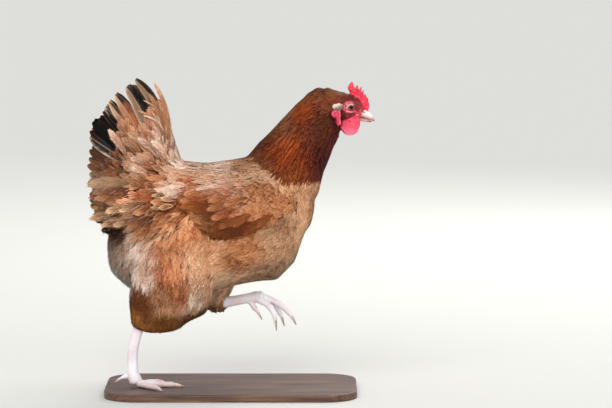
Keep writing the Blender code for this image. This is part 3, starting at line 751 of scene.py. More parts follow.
def start_material(name, **shader):
    """A material with its Principled shader's inputs set."""
    made = bpy.data.materials.new(name)
    made.use_nodes = True
    made.node_tree.nodes.clear()
    end = node(made.node_tree, "ShaderNodeOutputMaterial")
    surface = node(made.node_tree, "ShaderNodeBsdfPrincipled", shader)
    made.node_tree.links.new(surface.outputs["BSDF"], end.inputs["Surface"])
    return made, made.node_tree, surface


def tinted(tree, surface, change, low, high):
    """Colours the surface by the painted tint, times low to high as change goes from 0.25 to 0.75."""
    tint = node(tree, "ShaderNodeAttribute", attribute_name="tint", attribute_type="GEOMETRY")
    span = {"From Min": 0.25, "From Max": 0.75, "To Min": low, "To Max": high}
    level = node(tree, "ShaderNodeMapRange", {"Value": change, **span})
    product = {0: tint.outputs["Color"], "Scale": level.outputs[0]}
    scaled = node(tree, "ShaderNodeVectorMath", product, operation="SCALE")
    tree.links.new(scaled.outputs[0], surface.inputs["Base Color"])


def feather_keratin():
    """Feathers: dry keratin barbs, nearly matt, with streaks of colour and relief along the barbs.

    Real barbs are 0.4 mm apart. They are drawn 1.4 mm apart here, so that they show.
    """
    shader = {"Roughness": 0.58, "IOR": 1.54, "Specular IOR Level": 0.07}
    made, tree, surface = start_material("feather_keratin", **shader)
    vane = node(tree, "ShaderNodeAttribute", attribute_name="vane", attribute_type="GEOMETRY")
    parts = node(tree, "ShaderNodeSeparateXYZ", {0: vane.outputs["Vector"]})
    aside = node(tree, "ShaderNodeMath", {0: parts.outputs["Y"]}, operation="ABSOLUTE")
    slanted = {0: aside.outputs[0], 1: -1.5, 2: parts.outputs["X"]}
    back = node(tree, "ShaderNodeMath", slanted, operation="MULTIPLY_ADD")
    apart = {0: parts.outputs["Z"], 1: 900.0, 2: back.outputs[0]}
    own = node(tree, "ShaderNodeMath", apart, operation="MULTIPLY_ADD")
    fine = {"W": own.outputs[0], "Scale": 0.7, "Detail": 2.0}
    barbs = node(tree, "ShaderNodeTexNoise", fine, noise_dimensions="1D").outputs["Fac"]
    tinted(tree, surface, barbs, 0.62, 1.38)
    relief = node(tree, "ShaderNodeBump", {"Height": barbs, "Strength": 0.35, "Distance": 0.0004})
    tree.links.new(relief.outputs[0], surface.inputs["Normal"])
    return made


def bare_skin():
    """The hen's own skin: comb, wattles, lobes and face as soft pebbled flesh with blood under it.

    The pebbles are 1.3 mm across.
    """
    shader = {"Roughness": 0.42, "IOR": 1.42, "Specular IOR Level": 0.28}
    blood = {"Subsurface Weight": 0.18, "Subsurface Radius": (0.9, 0.25, 0.2), "Subsurface Scale": 0.0025}
    made, tree, surface = start_material("bare_skin", **shader, **blood)
    where = node(tree, "ShaderNodeTexCoord").outputs["Object"]
    pebbles = node(tree, "ShaderNodeTexVoronoi", {"Vector": where, "Scale": 760.0}).outputs["Distance"]
    mottle = node(tree, "ShaderNodeTexNoise", {"Vector": where, "Scale": 420.0, "Detail": 4.0})
    tinted(tree, surface, mottle.outputs["Fac"], 0.62, 1.38)
    relief = node(tree, "ShaderNodeBump", {"Height": pebbles, "Strength": 0.35, "Distance": 0.0005})
    tree.links.new(relief.outputs[0], surface.inputs["Normal"])
    return made


def leg_scales():
    """Scaled leg skin: hard, waxy keratin plates. The small scales are 1.9 mm across."""
    shader = {"Roughness": 0.45, "IOR": 1.5, "Specular IOR Level": 0.4}
    depth = {"Subsurface Weight": 0.08, "Subsurface Scale": 0.002}
    made, tree, surface = start_material("leg_scales", **shader, **depth)
    where = node(tree, "ShaderNodeTexCoord").outputs["Object"]
    small = {"Vector": where, "Scale": 530.0}
    scales = node(tree, "ShaderNodeTexVoronoi", small, feature="DISTANCE_TO_EDGE")
    edge = node(tree, "ShaderNodeMapRange", {"Value": scales.outputs["Distance"], "From Max": 0.2})
    tinted(tree, surface, edge.outputs[0], 0.9, 1.01)
    relief = node(tree, "ShaderNodeBump", {"Height": edge.outputs[0], "Strength": 0.35, "Distance": 0.0004})
    tree.links.new(relief.outputs[0], surface.inputs["Normal"])
    return made


def horn(name):
    """Beak and claws: layered horn, smooth and a little translucent, with growth lines 0.8 mm apart."""
    shader = {"Roughness": 0.33, "IOR": 1.55, "Specular IOR Level": 0.5}
    depth = {"Subsurface Weight": 0.12, "Subsurface Scale": 0.002}
    made, tree, surface = start_material(name, **shader, **depth)
    where = node(tree, "ShaderNodeTexCoord").outputs["Object"]
    growth = node(tree, "ShaderNodeTexNoise", {"Vector": where, "Scale": 380.0, "Detail": 3.0}).outputs["Fac"]
    tinted(tree, surface, growth, 0.84, 1.16)
    relief = node(tree, "ShaderNodeBump", {"Height": growth, "Strength": 0.12, "Distance": 0.0003})
    tree.links.new(relief.outputs[0], surface.inputs["Normal"])
    return made


def glass_eye():
    """A glass eye: painted iris under clear, polished glass, always wet to look at."""
    shader = {"Roughness": 0.2, "IOR": 1.5, "Specular IOR Level": 0.1}
    polish = {"Coat Weight": 0.2, "Coat Roughness": 0.02}
    made, tree, surface = start_material("glass_eye", **shader, **polish)
    where = node(tree, "ShaderNodeTexCoord").outputs["Object"]
    fibres = node(tree, "ShaderNodeTexNoise", {"Vector": where, "Scale": 900.0, "Detail": 2.0})
    tinted(tree, surface, fibres.outputs["Fac"], 0.8, 1.2)
    return made


def oiled_walnut():
    """Walnut for the base: planed, stained and oiled. Its grain runs lengthwise, in lines 3 mm apart."""
    made, tree, surface = start_material("oiled_walnut", **{"IOR": 1.5, "Specular IOR Level": 0.4})
    where = node(tree, "ShaderNodeTexCoord").outputs["Object"]
    lines = []
    for stretch, detail, distortion in (((16.0, 330.0, 330.0), 5.0, 0.6), ((5.0, 60.0, 60.0), 2.0, 1.2)):
        along = node(tree, "ShaderNodeMapping", {"Vector": where, "Scale": stretch}).outputs[0]
        look = {"Vector": along, "Scale": 1.0, "Detail": detail, "Distortion": distortion}
        lines.append(node(tree, "ShaderNodeTexNoise", look).outputs["Fac"])
    grain, rings = lines
    both = node(tree, "ShaderNodeMix", {"Factor": 0.5, "A": grain, "B": rings})
    colours = node(tree, "ShaderNodeValToRGB", {"Fac": both.outputs[0]})
    stops = colours.color_ramp.elements
    for number, (at, hex_colour) in enumerate(((0.34, "#33211a"), (0.5, "#5b4032"), (0.66, "#7b5b45"))):
        stop = stops[number] if number < 2 else stops.new(at)
        stop.position = at
        stop.color = (*linear(hex_colour), 1)
    tree.links.new(colours.outputs["Color"], surface.inputs["Base Color"])
    rough = node(tree, "ShaderNodeMapRange", {"Value": grain, "To Min": 0.5, "To Max": 0.36})
    tree.links.new(rough.outputs[0], surface.inputs["Roughness"])
    relief = node(tree, "ShaderNodeBump", {"Height": grain, "Strength": 0.12, "Distance": 0.0004})
    tree.links.new(relief.outputs[0], surface.inputs["Normal"])
    return made


def plain_paint(name, hex_colour, roughness):
    made, _, _ = start_material(name, **{"Base Color": (*linear(hex_colour), 1), "Roughness": roughness})
    return made


# ---- comb, wattles and earlobes ----
# Outlines seen from the right side, mm forward and above the base, from the back over the top.
COMB = (
    (158.6, 388), (159.6, 395.5), (157.4, 403), (159.4, 408.5), (162.8, 411.4), (165.2, 407), (167.2, 402.4),
    (170.9, 407), (172.3, 400), (175.9, 404.6), (175.2, 395.5), (179, 401.4), (178.3, 392.6), (181.5, 395),
    (182.2, 391), (184.6, 388.6), (185.3, 384), (186.3, 380), (186, 375), (184.6, 370.8), (181, 370.2),
    (174.2, 373), (168, 381),
)  # fmt: skip
WATTLE = (
    (147.6, 350), (147.4, 356.5), (152, 362), (162, 366.5), (172, 367.5), (174.2, 362), (174, 353),
    (171.4, 345.6), (166.3, 340.4), (158.6, 339.2), (151.9, 343.6),
)  # fmt: skip
EARLOBE = (
    (135.4, 369.5), (137.2, 373.8), (142, 375.4), (147.6, 373.6), (148.6, 368), (147.8, 361), (147.2, 356),
    (144.8, 351.6), (142.4, 355.6), (141.6, 362), (137.8, 364.8),
)  # fmt: skip


def round_off(drawn):
    """A closed curve through the points of a drawn outline, with four points for each of them."""
    here = np.array(drawn, float)
    back, ahead, beyond = (np.roll(here, k, axis=0) for k in (1, -1, -2))
    curve = []
    for t in (0, 0.25, 0.5, 0.75):
        square = (2 * back - 5 * here + 4 * ahead - beyond) * t**2
        cube = (3 * here - back - 3 * ahead + beyond) * t**3
        curve.append((2 * here + (ahead - back) * t + square + cube) / 2)
    return np.stack(curve, axis=1).reshape(-1, 2)


def fleshy_leaf(drawn, middle, half_thickness, plumpness, swing=0.0):
    """A leaf of flesh with a drawn outline, middle mm to the left. Its lower end swings out by swing."""
    rim = round_off(drawn)
    centre = rim.mean(axis=0)
    rise = np.array([0.0, 0.2, 0.4, 0.6, 0.75, 0.87, 0.95, 1.0])  # the rings' sizes up to the rim
    share = np.concatenate([rise, rise[-2::-1]])
    face = np.where(np.arange(len(share)) < len(rise), 1, -1)
    thickness = half_thickness * np.sqrt(1 - share**plumpness) * face
    strips = len(share) - 3
    rings = [centre + (rim - centre) * k for k in share]
    top, bottom = rim[:, 1].max(), rim[:, 1].min()
    points = []
    for ring, y in zip(rings, thickness):
        down = (top - ring[:, 1]) / (top - bottom)
        aside = middle + y + np.sign(middle) * swing * down**2
        points.append(np.stack([ring[:, 0], aside, ring[:, 1]], axis=1))
    points = np.concatenate([points[0][:1]] + points[1:-1] + [points[-1][:1]])
    around = len(rim)
    faces = []
    for k in range(around):
        after = (k + 1) % around
        faces.append((0, 1 + k, 1 + after))
        for ring in range(strips):
            low = 1 + ring * around
            faces.append((low + k, low + around + k, low + around + after))
            faces.append((low + k, low + around + after, low + after))
        last = 1 + strips * around
        faces.append((last + k, len(points) - 1, last + after))
    return GROUND + points * MM, np.array(faces)


FLESH = ["neck", "head", "trunk", "tail", "wing_left", "wing_right", "thigh_left", "thigh_right"]
SOFT_PARTS = {
    "comb": fleshy_leaf(COMB, 0, 2.5, 5),
    "wattle_left": fleshy_leaf(np.array(WATTLE) - (1.5, 1.2), 6.2, 2.4, 3, 2.5),
    "wattle_right": fleshy_leaf(WATTLE, -6.2, 2.4, 3, 2.5),
    "earlobe_left": fleshy_leaf(EARLOBE, 19.4, 3.4, 3, 0.8),
    "earlobe_right": fleshy_leaf(EARLOBE, -19.4, 3.4, 3, 0.8),
}
# Places on the head, in mm: the eyeball's centre and radius, half the eye's opening, the ear, the curl of the
# earlobe, the middle of the comb's root, the height of the corner of the mouth, the nostril, and a place on
# the plane where the head's skin is cut from the neck's.
EYE_AT = (161.5, 9.3, 377.6)
EYE_RADIUS = 5.4
EYE_OPENING = (4.4, 3.6)
EAR_AT = (144.8, 18.6, 378.6)
LOBE_CURL = (139.8, 369.2)
COMB_ROOT = (160, 372)
MOUTH_CORNER = 364.8
NOSTRIL = (179.5, 370.2)
CROWN_CUT = (108, 0, 346)


# ---- skin ----


def near_shell(points, shell, within):
    """Which points lie within that many millimetres of the closed shell's surface or inside it."""
    low, high = shell[0].min(axis=0) - within * MM, shell[0].max(axis=0) + within * MM
    tree = BVHTree.FromPolygons(shell[0].tolist(), shell[1].tolist())
    found = np.zeros(len(points), bool)
    for index in np.flatnonzero(((points > low) & (points < high)).all(axis=1)):
        at, normal, _, distance = tree.find_nearest(points[index])
        found[index] = distance < within * MM or (Vector(points[index]) - at).dot(normal) < 0
    return found


def eye_distance(mm):
    """How far points in mm are from the middle of the eye's opening, from the side, where 1 is its rim."""
    return np.hypot((mm[:, 0] - EYE_AT[0]) / EYE_OPENING[0], (mm[:, 2] - EYE_AT[2]) / EYE_OPENING[1])


def folds_at(mm):
    """The height of the bare face's folds, in rings round the eye, from -1 to 1."""
    rim = eye_distance(mm)
    angle = np.arctan2(mm[:, 2] - EYE_AT[2], mm[:, 0] - EYE_AT[0])
    winding = 0.9 * np.sin(angle * 3 + 1) + 0.6 * np.sin(angle * 7 + rim * 2)
    return np.cos((rim - 1.2) * 9 + winding) * ease(1.15, 1.4, rim) * ease(3.2, 1.9, rim)


def lobe_folds(mm):
    """The height of the earlobe's folds, from -1 to 1: a curl at its upper back, and two hanging ridges."""
    forward, up = mm[:, 0] - LOBE_CURL[0], mm[:, 2] - LOBE_CURL[1]
    turn = np.arctan2(up, forward)
    away = np.hypot(forward, up * 0.85) - 3.0 - 0.5 * np.sin(turn * 2 + 0.6)
    curl = np.exp(-((away / 1.1) ** 2)) * (0.65 + 0.35 * np.cos(turn - 2.4))
    lean = (mm[:, 2] - 362) * 0.1 + 0.5 * np.sin(mm[:, 2] * 0.8)
    hanging = ease(372, 367, mm[:, 2]) * (0.75 + 0.25 * np.sin(mm[:, 2] * 1.1))
    first = np.exp(-(((mm[:, 0] - 143.4 + lean) / 0.8) ** 2)) * hanging
    second = np.exp(-(((mm[:, 0] - 146.6 + lean * 0.5) / 0.8) ** 2))
    return np.maximum(curl, np.maximum(first, second)) * 2 - 1


def shape_head(points, faces, soft):
    """Adds lids, the folds of the bare face and the rough surface of comb, wattles and lobes to the skin."""
    normals = normals_of(points, faces)
    mm = mm_of(points)
    side = np.sign(mm[:, 1])
    flat = np.hypot(mm[:, 0] - EYE_AT[0], mm[:, 2] - EYE_AT[2])
    rim = eye_distance(mm)
    beside = (abs(mm[:, 1]) > np.where(rim < 1.6, 2.5, 6)) & (rim < 4) & ~soft["comb"]
    onto_rim = np.where(beside & (abs(rim - 1) < 0.1), 1 / np.maximum(rim, 0.5), 1)
    mm[:, 0] = EYE_AT[0] + (mm[:, 0] - EYE_AT[0]) * onto_rim
    mm[:, 2] = EYE_AT[2] + (mm[:, 2] - EYE_AT[2]) * onto_rim
    rim = rim * onto_rim
    ball = EYE_AT[1] + np.sqrt((EYE_RADIUS + 0.7) ** 2 - np.minimum(flat, 4.3) ** 2)
    lid = ease(1.8, 1.1, rim)
    target = abs(mm[:, 1]) * (1 - lid) + ball * lid
    upper = ease(0.0, 2.5, mm[:, 2] - EYE_AT[2]) * ease(1.0, 1.15, rim) * ease(1.9, 1.4, rim)
    target = target - ease(0.98, 0.84, rim) * 4.2 + upper * 0.3
    target = target + folds_at(mm) * 0.42 - ease(1.2, 1.02, rim) * ease(0.9, 1.0, rim) * 0.55
    over_ball = EYE_AT[1] + np.sqrt(np.clip((EYE_RADIUS + 0.35) ** 2 - flat**2, 0, None))
    target = np.where(rim > 0.98, np.maximum(target, over_ball), target)
    mm[:, 1] = np.where(beside, side * target, mm[:, 1])
    mouth = 362.6 + (174 - mm[:, 0]) * 0.14  # the line of the shut mouth drops towards the beak
    gape = np.clip(1 - abs(mm[:, 2] - mouth), 0, 1) * ease(156, 161, mm[:, 0]) * ease(2, 5, abs(mm[:, 1]))
    bare = np.any(list(soft.values()), axis=0)
    rough = ripple(points, 0.0032, 3) * 0.2 + ripple(points, 0.0022, 4) * np.where(bare, 0.16, 0.1)
    lobes = soft["earlobe_left"] | soft["earlobe_right"]
    pleat = np.where(lobes, lobe_folds(mm), 0) * (abs(mm[:, 1]) > 19)
    from_root = np.arctan2(mm[:, 2] - COMB_ROOT[1], mm[:, 0] - COMB_ROOT[0])
    flutes = np.where(soft["comb"], np.cos(from_root * 34) * 0.3, 0)
    push = rough * ease(133, 146, mm[:, 0]) - gape * 0.7 + pleat * 0.75 + flutes
    return GROUND + (mm + normals * push[:, None]) * MM


def head_colours(points, soft):
    """The colours of the head's skin: pink-red flesh, and the feathers' colours elsewhere."""
    mm = mm_of(points)
    rim = eye_distance(mm)
    patch = ripple(points, 0.006, 8) * 0.5 + 0.5
    fleck = np.clip(ripple(points, 0.0026, 9), 0, 1)
    fold = folds_at(mm)
    pleat = lobe_folds(mm)
    above_eye = mm[:, 2] - EYE_AT[2]

    tint = map_at(points, "tint", part="cape") * (0.6, 0.42, 0.36)
    face = np.maximum(ease(2.9, 2.2, rim), ease(165, 170, mm[:, 0]))
    face = np.maximum(face, ease(4.5, 2.0, abs(mm[:, 2] - MOUTH_CORNER)) * ease(149, 156, mm[:, 0]))
    bristles = ease(2.6, 1.6, np.hypot((mm[:, 0] - 170.5) / 2.6, (mm[:, 2] - 381) / 4.5))  # before the eye
    face = face * (1 - 0.85 * bristles)
    red = toward(evenly(points, "#d23c52"), "#ac2634", patch)
    # Pale pink flecks and fold ridges are partly the face's own pale papillae and partly painted wet
    # highlight; the folds' hollows round the eye are darkened as painted shade.
    red = toward(red, "#f6a0ac", fleck * 0.8 + np.clip(fold, 0, 1) ** 2 * 0.5)
    red = toward(red, "#6e1419", np.clip(-fold, 0, 1) * 0.55 * (rim < 2.4))
    red = toward(red, "#701f22", ease(371, 367, mm[:, 2]) * ease(169, 161, mm[:, 0]) * 0.8)
    tint = tint + (red - tint) * face[:, None]

    lid = ease(1.6, 1.2, rim)
    tint = toward(tint, "#d4a4a0", lid * ease(-0.5, 1.6, above_eye - (mm[:, 0] - EYE_AT[0]) * 0.7) * 0.8)
    tint = toward(tint, "#8e2c34", lid * ease(0.5, -1.5, above_eye) * 0.5)
    # Near black inside the eye's opening, where the skin sinks behind the lids: painted shade.
    tint = toward(tint, "#2a0d0c", rim < 0.97)
    ear = np.hypot((mm[:, 0] - EAR_AT[0]) / 6, (mm[:, 2] - EAR_AT[2]) / 4.6)
    tint = toward(tint, "#a58777", ease(1.2, 0.9, ear) * (abs(mm[:, 1]) > 12))

    comb = toward(evenly(points, "#ee344c"), "#d0223a", patch)
    # The comb's pale flecks and its paler top: painted highlight.
    comb = toward(comb, "#ff7c90", fleck * 0.35 + ease(396, 412, mm[:, 2]) * 0.3)
    tint = np.where(soft["comb"][:, None], comb, tint)
    wattle = toward(evenly(points, "#e94c66"), "#d4304a", patch * ease(340, 362, mm[:, 2]))
    # The wattle's pale flecks and paler lower part: painted highlight.
    wattle = toward(wattle, "#ff8ca4", fleck * 0.15 + ease(352, 341, mm[:, 2]) * 0.5)
    # Dark brown at the wattle's upper back, where it tucks under the cheek: painted shade.
    wattle = toward(wattle, "#5c1a14", ease(151.5, 148.5, mm[:, 0]) * ease(350, 354, mm[:, 2]))
    tint = np.where((soft["wattle_left"] | soft["wattle_right"])[:, None], wattle, tint)
    # Paler on the earlobe's fold ridges: painted highlight; darker between them: painted shade.
    lobe = toward(evenly(points, "#d4405c"), "#f29cb0", np.clip(pleat, 0, 1) ** 2 * 0.5)
    lobe = toward(lobe, "#a8243c", np.clip(-pleat, 0, 1) * 0.45)
    return np.where((soft["earlobe_left"] | soft["earlobe_right"])[:, None], lobe, tint)


def eyelid(side):
    """The smooth, fleshy rim of the eye's opening: its points, faces and colours. The upper lid is paler."""
    around, thickness = 72, 10
    angles = (np.linspace(0, 2 * math.pi, count + 1)[:-1] for count in (around, thickness))
    ring, turn = np.meshgrid(*angles, indexing="ij")
    thick = 0.62 + 0.2 * np.sin(ring)
    out = 1 + 0.05 * np.cos(ring * 2)
    x = (EYE_OPENING[0] * 0.98 + thick * np.cos(turn)) * np.cos(ring) * out
    z = (EYE_OPENING[1] * 0.98 + thick * np.cos(turn)) * np.sin(ring) * out
    ball = np.sqrt(EYE_RADIUS**2 - np.clip(x**2 + z**2, 0, (EYE_RADIUS - 1.2) ** 2))
    y = EYE_AT[1] + ball + 0.25 + thick * np.sin(turn)
    points = GROUND + np.stack([EYE_AT[0] + x, side * y, EYE_AT[2] + z], axis=-1).reshape(-1, 3) * MM
    here = np.arange(around * thickness).reshape(around, thickness)
    ahead = np.roll(here, -1, axis=0)
    quads = np.stack([here, np.roll(here, -1, axis=1), np.roll(ahead, -1, axis=1), ahead], axis=-1)
    quads = quads.reshape(-1, 4) if side < 0 else quads.reshape(-1, 4)[:, ::-1]
    faces = np.concatenate([quads[:, [0, 1, 2]], quads[:, [0, 2, 3]]])
    upper = ease(-0.4, 0.8, np.sin(ring - 0.6)).reshape(-1)
    tint = toward(evenly(points, "#b8505a"), "#e6c2bc", upper * 0.85)
    return points, faces, toward(tint, "#3a1614", (np.cos(turn).reshape(-1) < -0.75) * 0.8)


def skin_piece():
    """One skin for all the hen's flesh, and the surface that its feathers are laid on."""
    tail_end = {"tail": (place(-90, 0, 352), (0, 0, -1))}
    body = Hide(*fused(FLESH, 3.6 * MM, 8, cuts=tail_end))
    crown = {"neck": (place(*CROWN_CUT), (0.55, 0, 0.83))}
    head = Hide(*fused(["head", "neck"], 0.7 * MM, 3, cuts=crown, flesh=SOFT_PARTS.values()))

    depth = map_at(body.points, "depth") + (0.4 + 3.5 * ease(6, 14, above_crown(body.points))) * MM
    body_skin = body.points - body.normals * depth[:, None]
    soft = {name: near_shell(head.points, shell, 0.7) for name, shell in SOFT_PARTS.items()}
    sink = np.where(np.any(list(soft.values()), axis=0), 0, map_at(head.points, "depth", part="cape"))
    head_skin = shape_head(head.points - head.normals * sink[:, None], head.faces, soft)
    # The body's skin takes the feathers' tint, darkened a little, and much more and redder under the hackle
    # cape: painted shade in the coat's gaps.
    under = np.where((cape_height(body.points) > 0)[:, None], (0.42, 0.3, 0.3), (0.9, 0.86, 0.84))
    tints = [map_at(body.points, "tint") * under, head_colours(head.points, soft)]
    shells = [(body_skin, body.faces), (head_skin, head.faces)]
    for side in SIDES.values():
        points, faces, tint = eyelid(side)
        shells.append((points, faces))
        tints.append(tint)
    soft_faces = sum(len(shell[1]) for shell in shells)
    for word in SIDES:
        points, faces = fused([f"shank_{word}"] + [f"toe_{word}_{toe}" for toe in TOES], 1.3 * MM, 2)
        shells.append((scaled_leg(taper_toes(points, word), faces), faces))
        tints.append(leg_colours(points))

    points = np.concatenate([shell[0] for shell in shells])
    starts = np.cumsum([0] + [len(shell[0]) for shell in shells])
    faces = np.concatenate([shell[1] + start for shell, start in zip(shells, starts)])
    skin = mesh_piece("skin", points, faces, np.concatenate(tints))
    unwrap(skin)
    corners = np.empty(len(faces) * 6, np.float32)
    skin.data.uv_layers["OFBake"].data.foreach_get("uv", corners)
    corners = corners.reshape(-1, 3, 2)
    body.map = corners[: len(body.faces)]
    head.map = corners[len(body.faces) : len(body.faces) + len(head.faces)]
    legs = [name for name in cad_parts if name.startswith(("shank_", "toe_"))]
    fit(skin, bare_skin(), "plumage", *FLESH, *SOFT_PARTS, *legs)
    skin.data.materials.append(leg_scales())
    kinds = np.zeros(len(faces), np.int32)
    kinds[soft_faces:] = 1
    skin.data.polygons.foreach_set("material_index", kinds)
    return body, head


def unwrap(piece):
    """Unwraps the piece's own shape onto the OFBake map."""
    piece.data.uv_layers.new(name="OFBake")
    bpy.context.view_layer.objects.active = piece
    piece.select_set(True)
    bpy.ops.object.mode_set(mode="EDIT")
    bpy.ops.mesh.select_all(action="SELECT")
    bpy.ops.uv.smart_project(angle_limit=math.radians(60), island_margin=0.002)
    bpy.ops.object.mode_set(mode="OBJECT")
    piece.select_set(False)


# ---- legs ----

TOES = ("inner", "middle", "outer", "hind")


def scaled_leg(points, faces):
    """Raises the broad plates down the front of shank and toes."""
    normals = normals_of(points, faces)
    mm = mm_of(points)
    if mm[:, 1].mean() < 0:  # the leg that she stands on
        run, front = mm[:, 2] + mm[:, 0] * 0.3, normals[:, 0]
    else:
        run, front = mm[:, 0] + mm[:, 2] * 0.3, normals[:, 2]
    plates = abs(np.sin(run * math.pi / 4.2)) ** 0.5
    high = ease(0.1, 0.7, front) * plates * 0.35 + ripple(points, 0.0016, 21) * 0.08
    keep_sole = ease(0.4, 1.6, mm[:, 2])
    return points + normals * (high * keep_sole * MM)[:, None]


def taper_toes(points, word):
    """Narrows each toe towards the root of its claw."""
    for toe in TOES:
        claw, _ = solid_of(f"claw_{word}_{toe}")
        near = solid_of(f"toe_{word}_{toe}")[0].mean(axis=0)
        far = np.linalg.norm(claw - near, axis=1)
        root, tip = claw[far < np.percentile(far, 25)].mean(axis=0), claw[far.argmax()]
        along = unit(tip - root)
        offset = points - root
        on = (offset * along).sum(-1, keepdims=True)
        aside = offset - along * on
        close = (np.linalg.norm(offset, axis=1) < 9 * MM)[:, None]
        narrow = 0.42 * ease(-6.5, -0.5, on / MM) * close
        points = points - aside * narrow
    return points


def leg_colours(points):
    """Legs are pinkish white in patches, and browner near the ground."""
    tint = toward(evenly(points, "#ead8de"), "#f6f6fb", ripple(points, 0.014, 31) * 0.5 + 0.5)
    return toward(tint, "#b9968c", ease(16, 2, mm_of(points)[:, 2]) * 0.5)


def refined(name, voxel, smoothing, tint_of, material, slot):
    """A smooth piece in the shape of the CAD node, which it replaces."""
    points, faces = fused([name], voxel, smoothing)
    piece = mesh_piece(name + "_horn", points, faces, tint_of(points))
    fit(piece, material, slot, name)
    return piece


def claw_colours(points):
    """Claws go from pinkish quick at the root to greyish horn at the tip."""
    x = mm_of(points)[:, 0]
    along = (x - x.min()) / (np.ptp(x) + 1e-6)
    along = along if x.mean() > -150 else 1 - along
    return toward(evenly(points, "#d9bdb4"), "#8d7c74", ease(0.3, 1.0, along))


def beak_colours(points):
    """The beak is pinkish horn, paler on its ridge as painted highlight, darker along the gape as painted
    shade, and brown at the lower tip.
    """
    x, _, z = mm_of(points).T
    onward = x - 176  # from the beak's root
    # Painted highlight along the ridge.
    tint = toward(evenly(points, "#d6a39a"), "#f8ebe6", ease(365, 371, z + onward * 0.35) * 0.9)
    tint = toward(tint, "#c07c74", ease(181, 173, x) * 0.6)
    # Painted shade along the gape, where the halves meet.
    tint = toward(tint, "#7a4640", ease(1.5, 0.3, abs(z - 362.2 + onward * 0.2)) * 0.6)
    tint = toward(tint, "#5a4640", ease(361, 358.5, z + onward * 0.12) * ease(181, 187, x) * 0.85)
    return toward(tint, "#8c6a60", ease(190, 193.5, x) * 0.6)


def beak_pieces():
    """Both halves of the beak. The upper one has a slit of a nostril on each side."""
    material = horn("beak_horn")
    upper = refined("beak_upper", 0.4 * MM, 3, beak_colours, material, "beak")
    refined("beak_lower", 0.4 * MM, 2, beak_colours, material, "beak")
    points, _ = mesh_arrays(upper.data)
    mm = mm_of(points)
    forward, up = mm[:, 0] - NOSTRIL[0], mm[:, 2] - NOSTRIL[1]
    slit = np.hypot(forward / 2.0, (up + forward * 0.25) / 0.75)
    dent = ease(1.2, 0.5, slit) * (abs(mm[:, 1]) > 1.5)
    mm[:, 1] -= np.sign(mm[:, 1]) * dent * 1.3
    upper.data.vertices.foreach_set("co", (GROUND + mm * MM).astype(np.float32).ravel())
    # The nostril's slit is painted dark: painted shade in its hollow.
    inside = ease(1.1, 0.5, slit) * (abs(mm[:, 1]) > 0.8)
    paint(upper.data, toward(beak_colours(points), "#4a2420", inside))


def eye_piece(word, side):
    """A ball whose front is painted: black pupil, amber iris that turns brown outward, and a dark rim."""
    ball = bmesh.new()
    bmesh.ops.create_uvsphere(ball, u_segments=72, v_segments=48, radius=EYE_RADIUS * MM)
    bmesh.ops.triangulate(ball, faces=ball.faces)
    points = np.array([tuple(v.co) for v in ball.verts])
    faces = np.array(sorted([v.index for v in f.verts] for f in ball.faces))
    ball.free()
    points, faces = points[:, [0, 2, 1]], faces[:, ::-1]  # the ball's poles point sideways
    off = np.hypot(points[:, 0] - 0.5 * MM, points[:, 2] + 0.1 * MM) / MM
    tint = toward(evenly(points, "#030202"), "#b4641c", ease(2.65, 2.9, off))
    tint = toward(tint, "#7c3a12", ease(3.2, 4.4, off))
    tint = toward(tint, "#2a120a", ease(4.3, 4.7, off))
    centre = place(EYE_AT[0], side * EYE_AT[1], EYE_AT[2])
    piece = mesh_piece(f"eye_{word}_glass", points + centre, faces, tint)
    fit(piece, glass_eye(), "eye", f"eye_{word}")


# ---- the coat ----

FANS = ("tail_fan_left", "tail_fan_right")
FAN_ROOT = (-89, 271)  # mm forward and above the base
CAPE_EDGE = (77, 281)  # mm forward and above the base, where the cape's lower edge bends

# How far from the fan's root the coverts reach over the tail feathers: degrees from forward, and mm.
COVERTS_END = (
    (95, 114), (100, 104), (103, 92), (106, 84), (110, 86), (114, 96), (119, 104), (124, 106), (128, 100),
    (133, 82), (138, 80), (145, 84), (150, 84), (158, 88), (166, 94), (180, 100), (225, 100),
)  # fmt: skip

# The folded wing's lower edge, where feathers of thigh and flank lap over it: mm forward and above the base.
WING_EDGE = (
    (-64, 246), (-54, 244), (-44, 232), (-33, 218), (-18, 208), (-4, 206), (8, 207), (20, 212), (34, 218),
    (52, 224), (66, 230), (80, 248),
)  # fmt: skip


def fan_polar(points):
    """Each point's angle from forward, in degrees, and its distance in mm from the root of the tail's fan."""
    mm = mm_of(points)
    x, z = mm[:, 0] - FAN_ROOT[0], mm[:, 2] - FAN_ROOT[1]
    return np.degrees(np.arctan2(z, x)) % 360, np.hypot(x, z)


def coverts_end(angle):
    """How far the coverts reach over the tail feathers at that angle, in mm."""
    return np.interp(angle, *zip(*COVERTS_END))


def cape_height(points):
    """How far each point lies above the lower edge of the cape of hackle feathers, in mm."""
    mm = mm_of(points)
    x, z = mm[:, 0] - CAPE_EDGE[0], mm[:, 2] - CAPE_EDGE[1]
    return np.where(x > 0, z, x * 0.57 + z * 0.82)


def wing_edge(x):
    """The height of the folded wing's lower edge, in mm."""
    return np.interp(x, *zip(*WING_EDGE))


# Where the coat swells beyond the body's own shape: the place, how wide the swelling is and how high, all mm.
SWELLINGS = (((124, 0, 398), 13, 3.0), ((112, 0, 398), 12, 1.6), ((122, 0, 254), 17, 3.6))


def swollen(laid):
    """Lifts the feathers where the coat swells."""
    at = mm_of(laid.shaft.reshape(-1, 3))
    rise = sum(high * np.exp(-(((at - middle) / wide) ** 2).sum(-1)) for middle, wide, high in SWELLINGS)
    laid.shaft += laid.facing * (rise * MM).reshape(laid.shaft.shape[:2] + (1,))
    return laid


def above_crown(points):
    """How far each point lies above the plane where the head's skin is cut from the neck's, in mm."""
    mm = mm_of(points)
    return (mm[:, 0] - CROWN_CUT[0]) * 0.552 + (mm[:, 2] - CROWN_CUT[2]) * 0.834


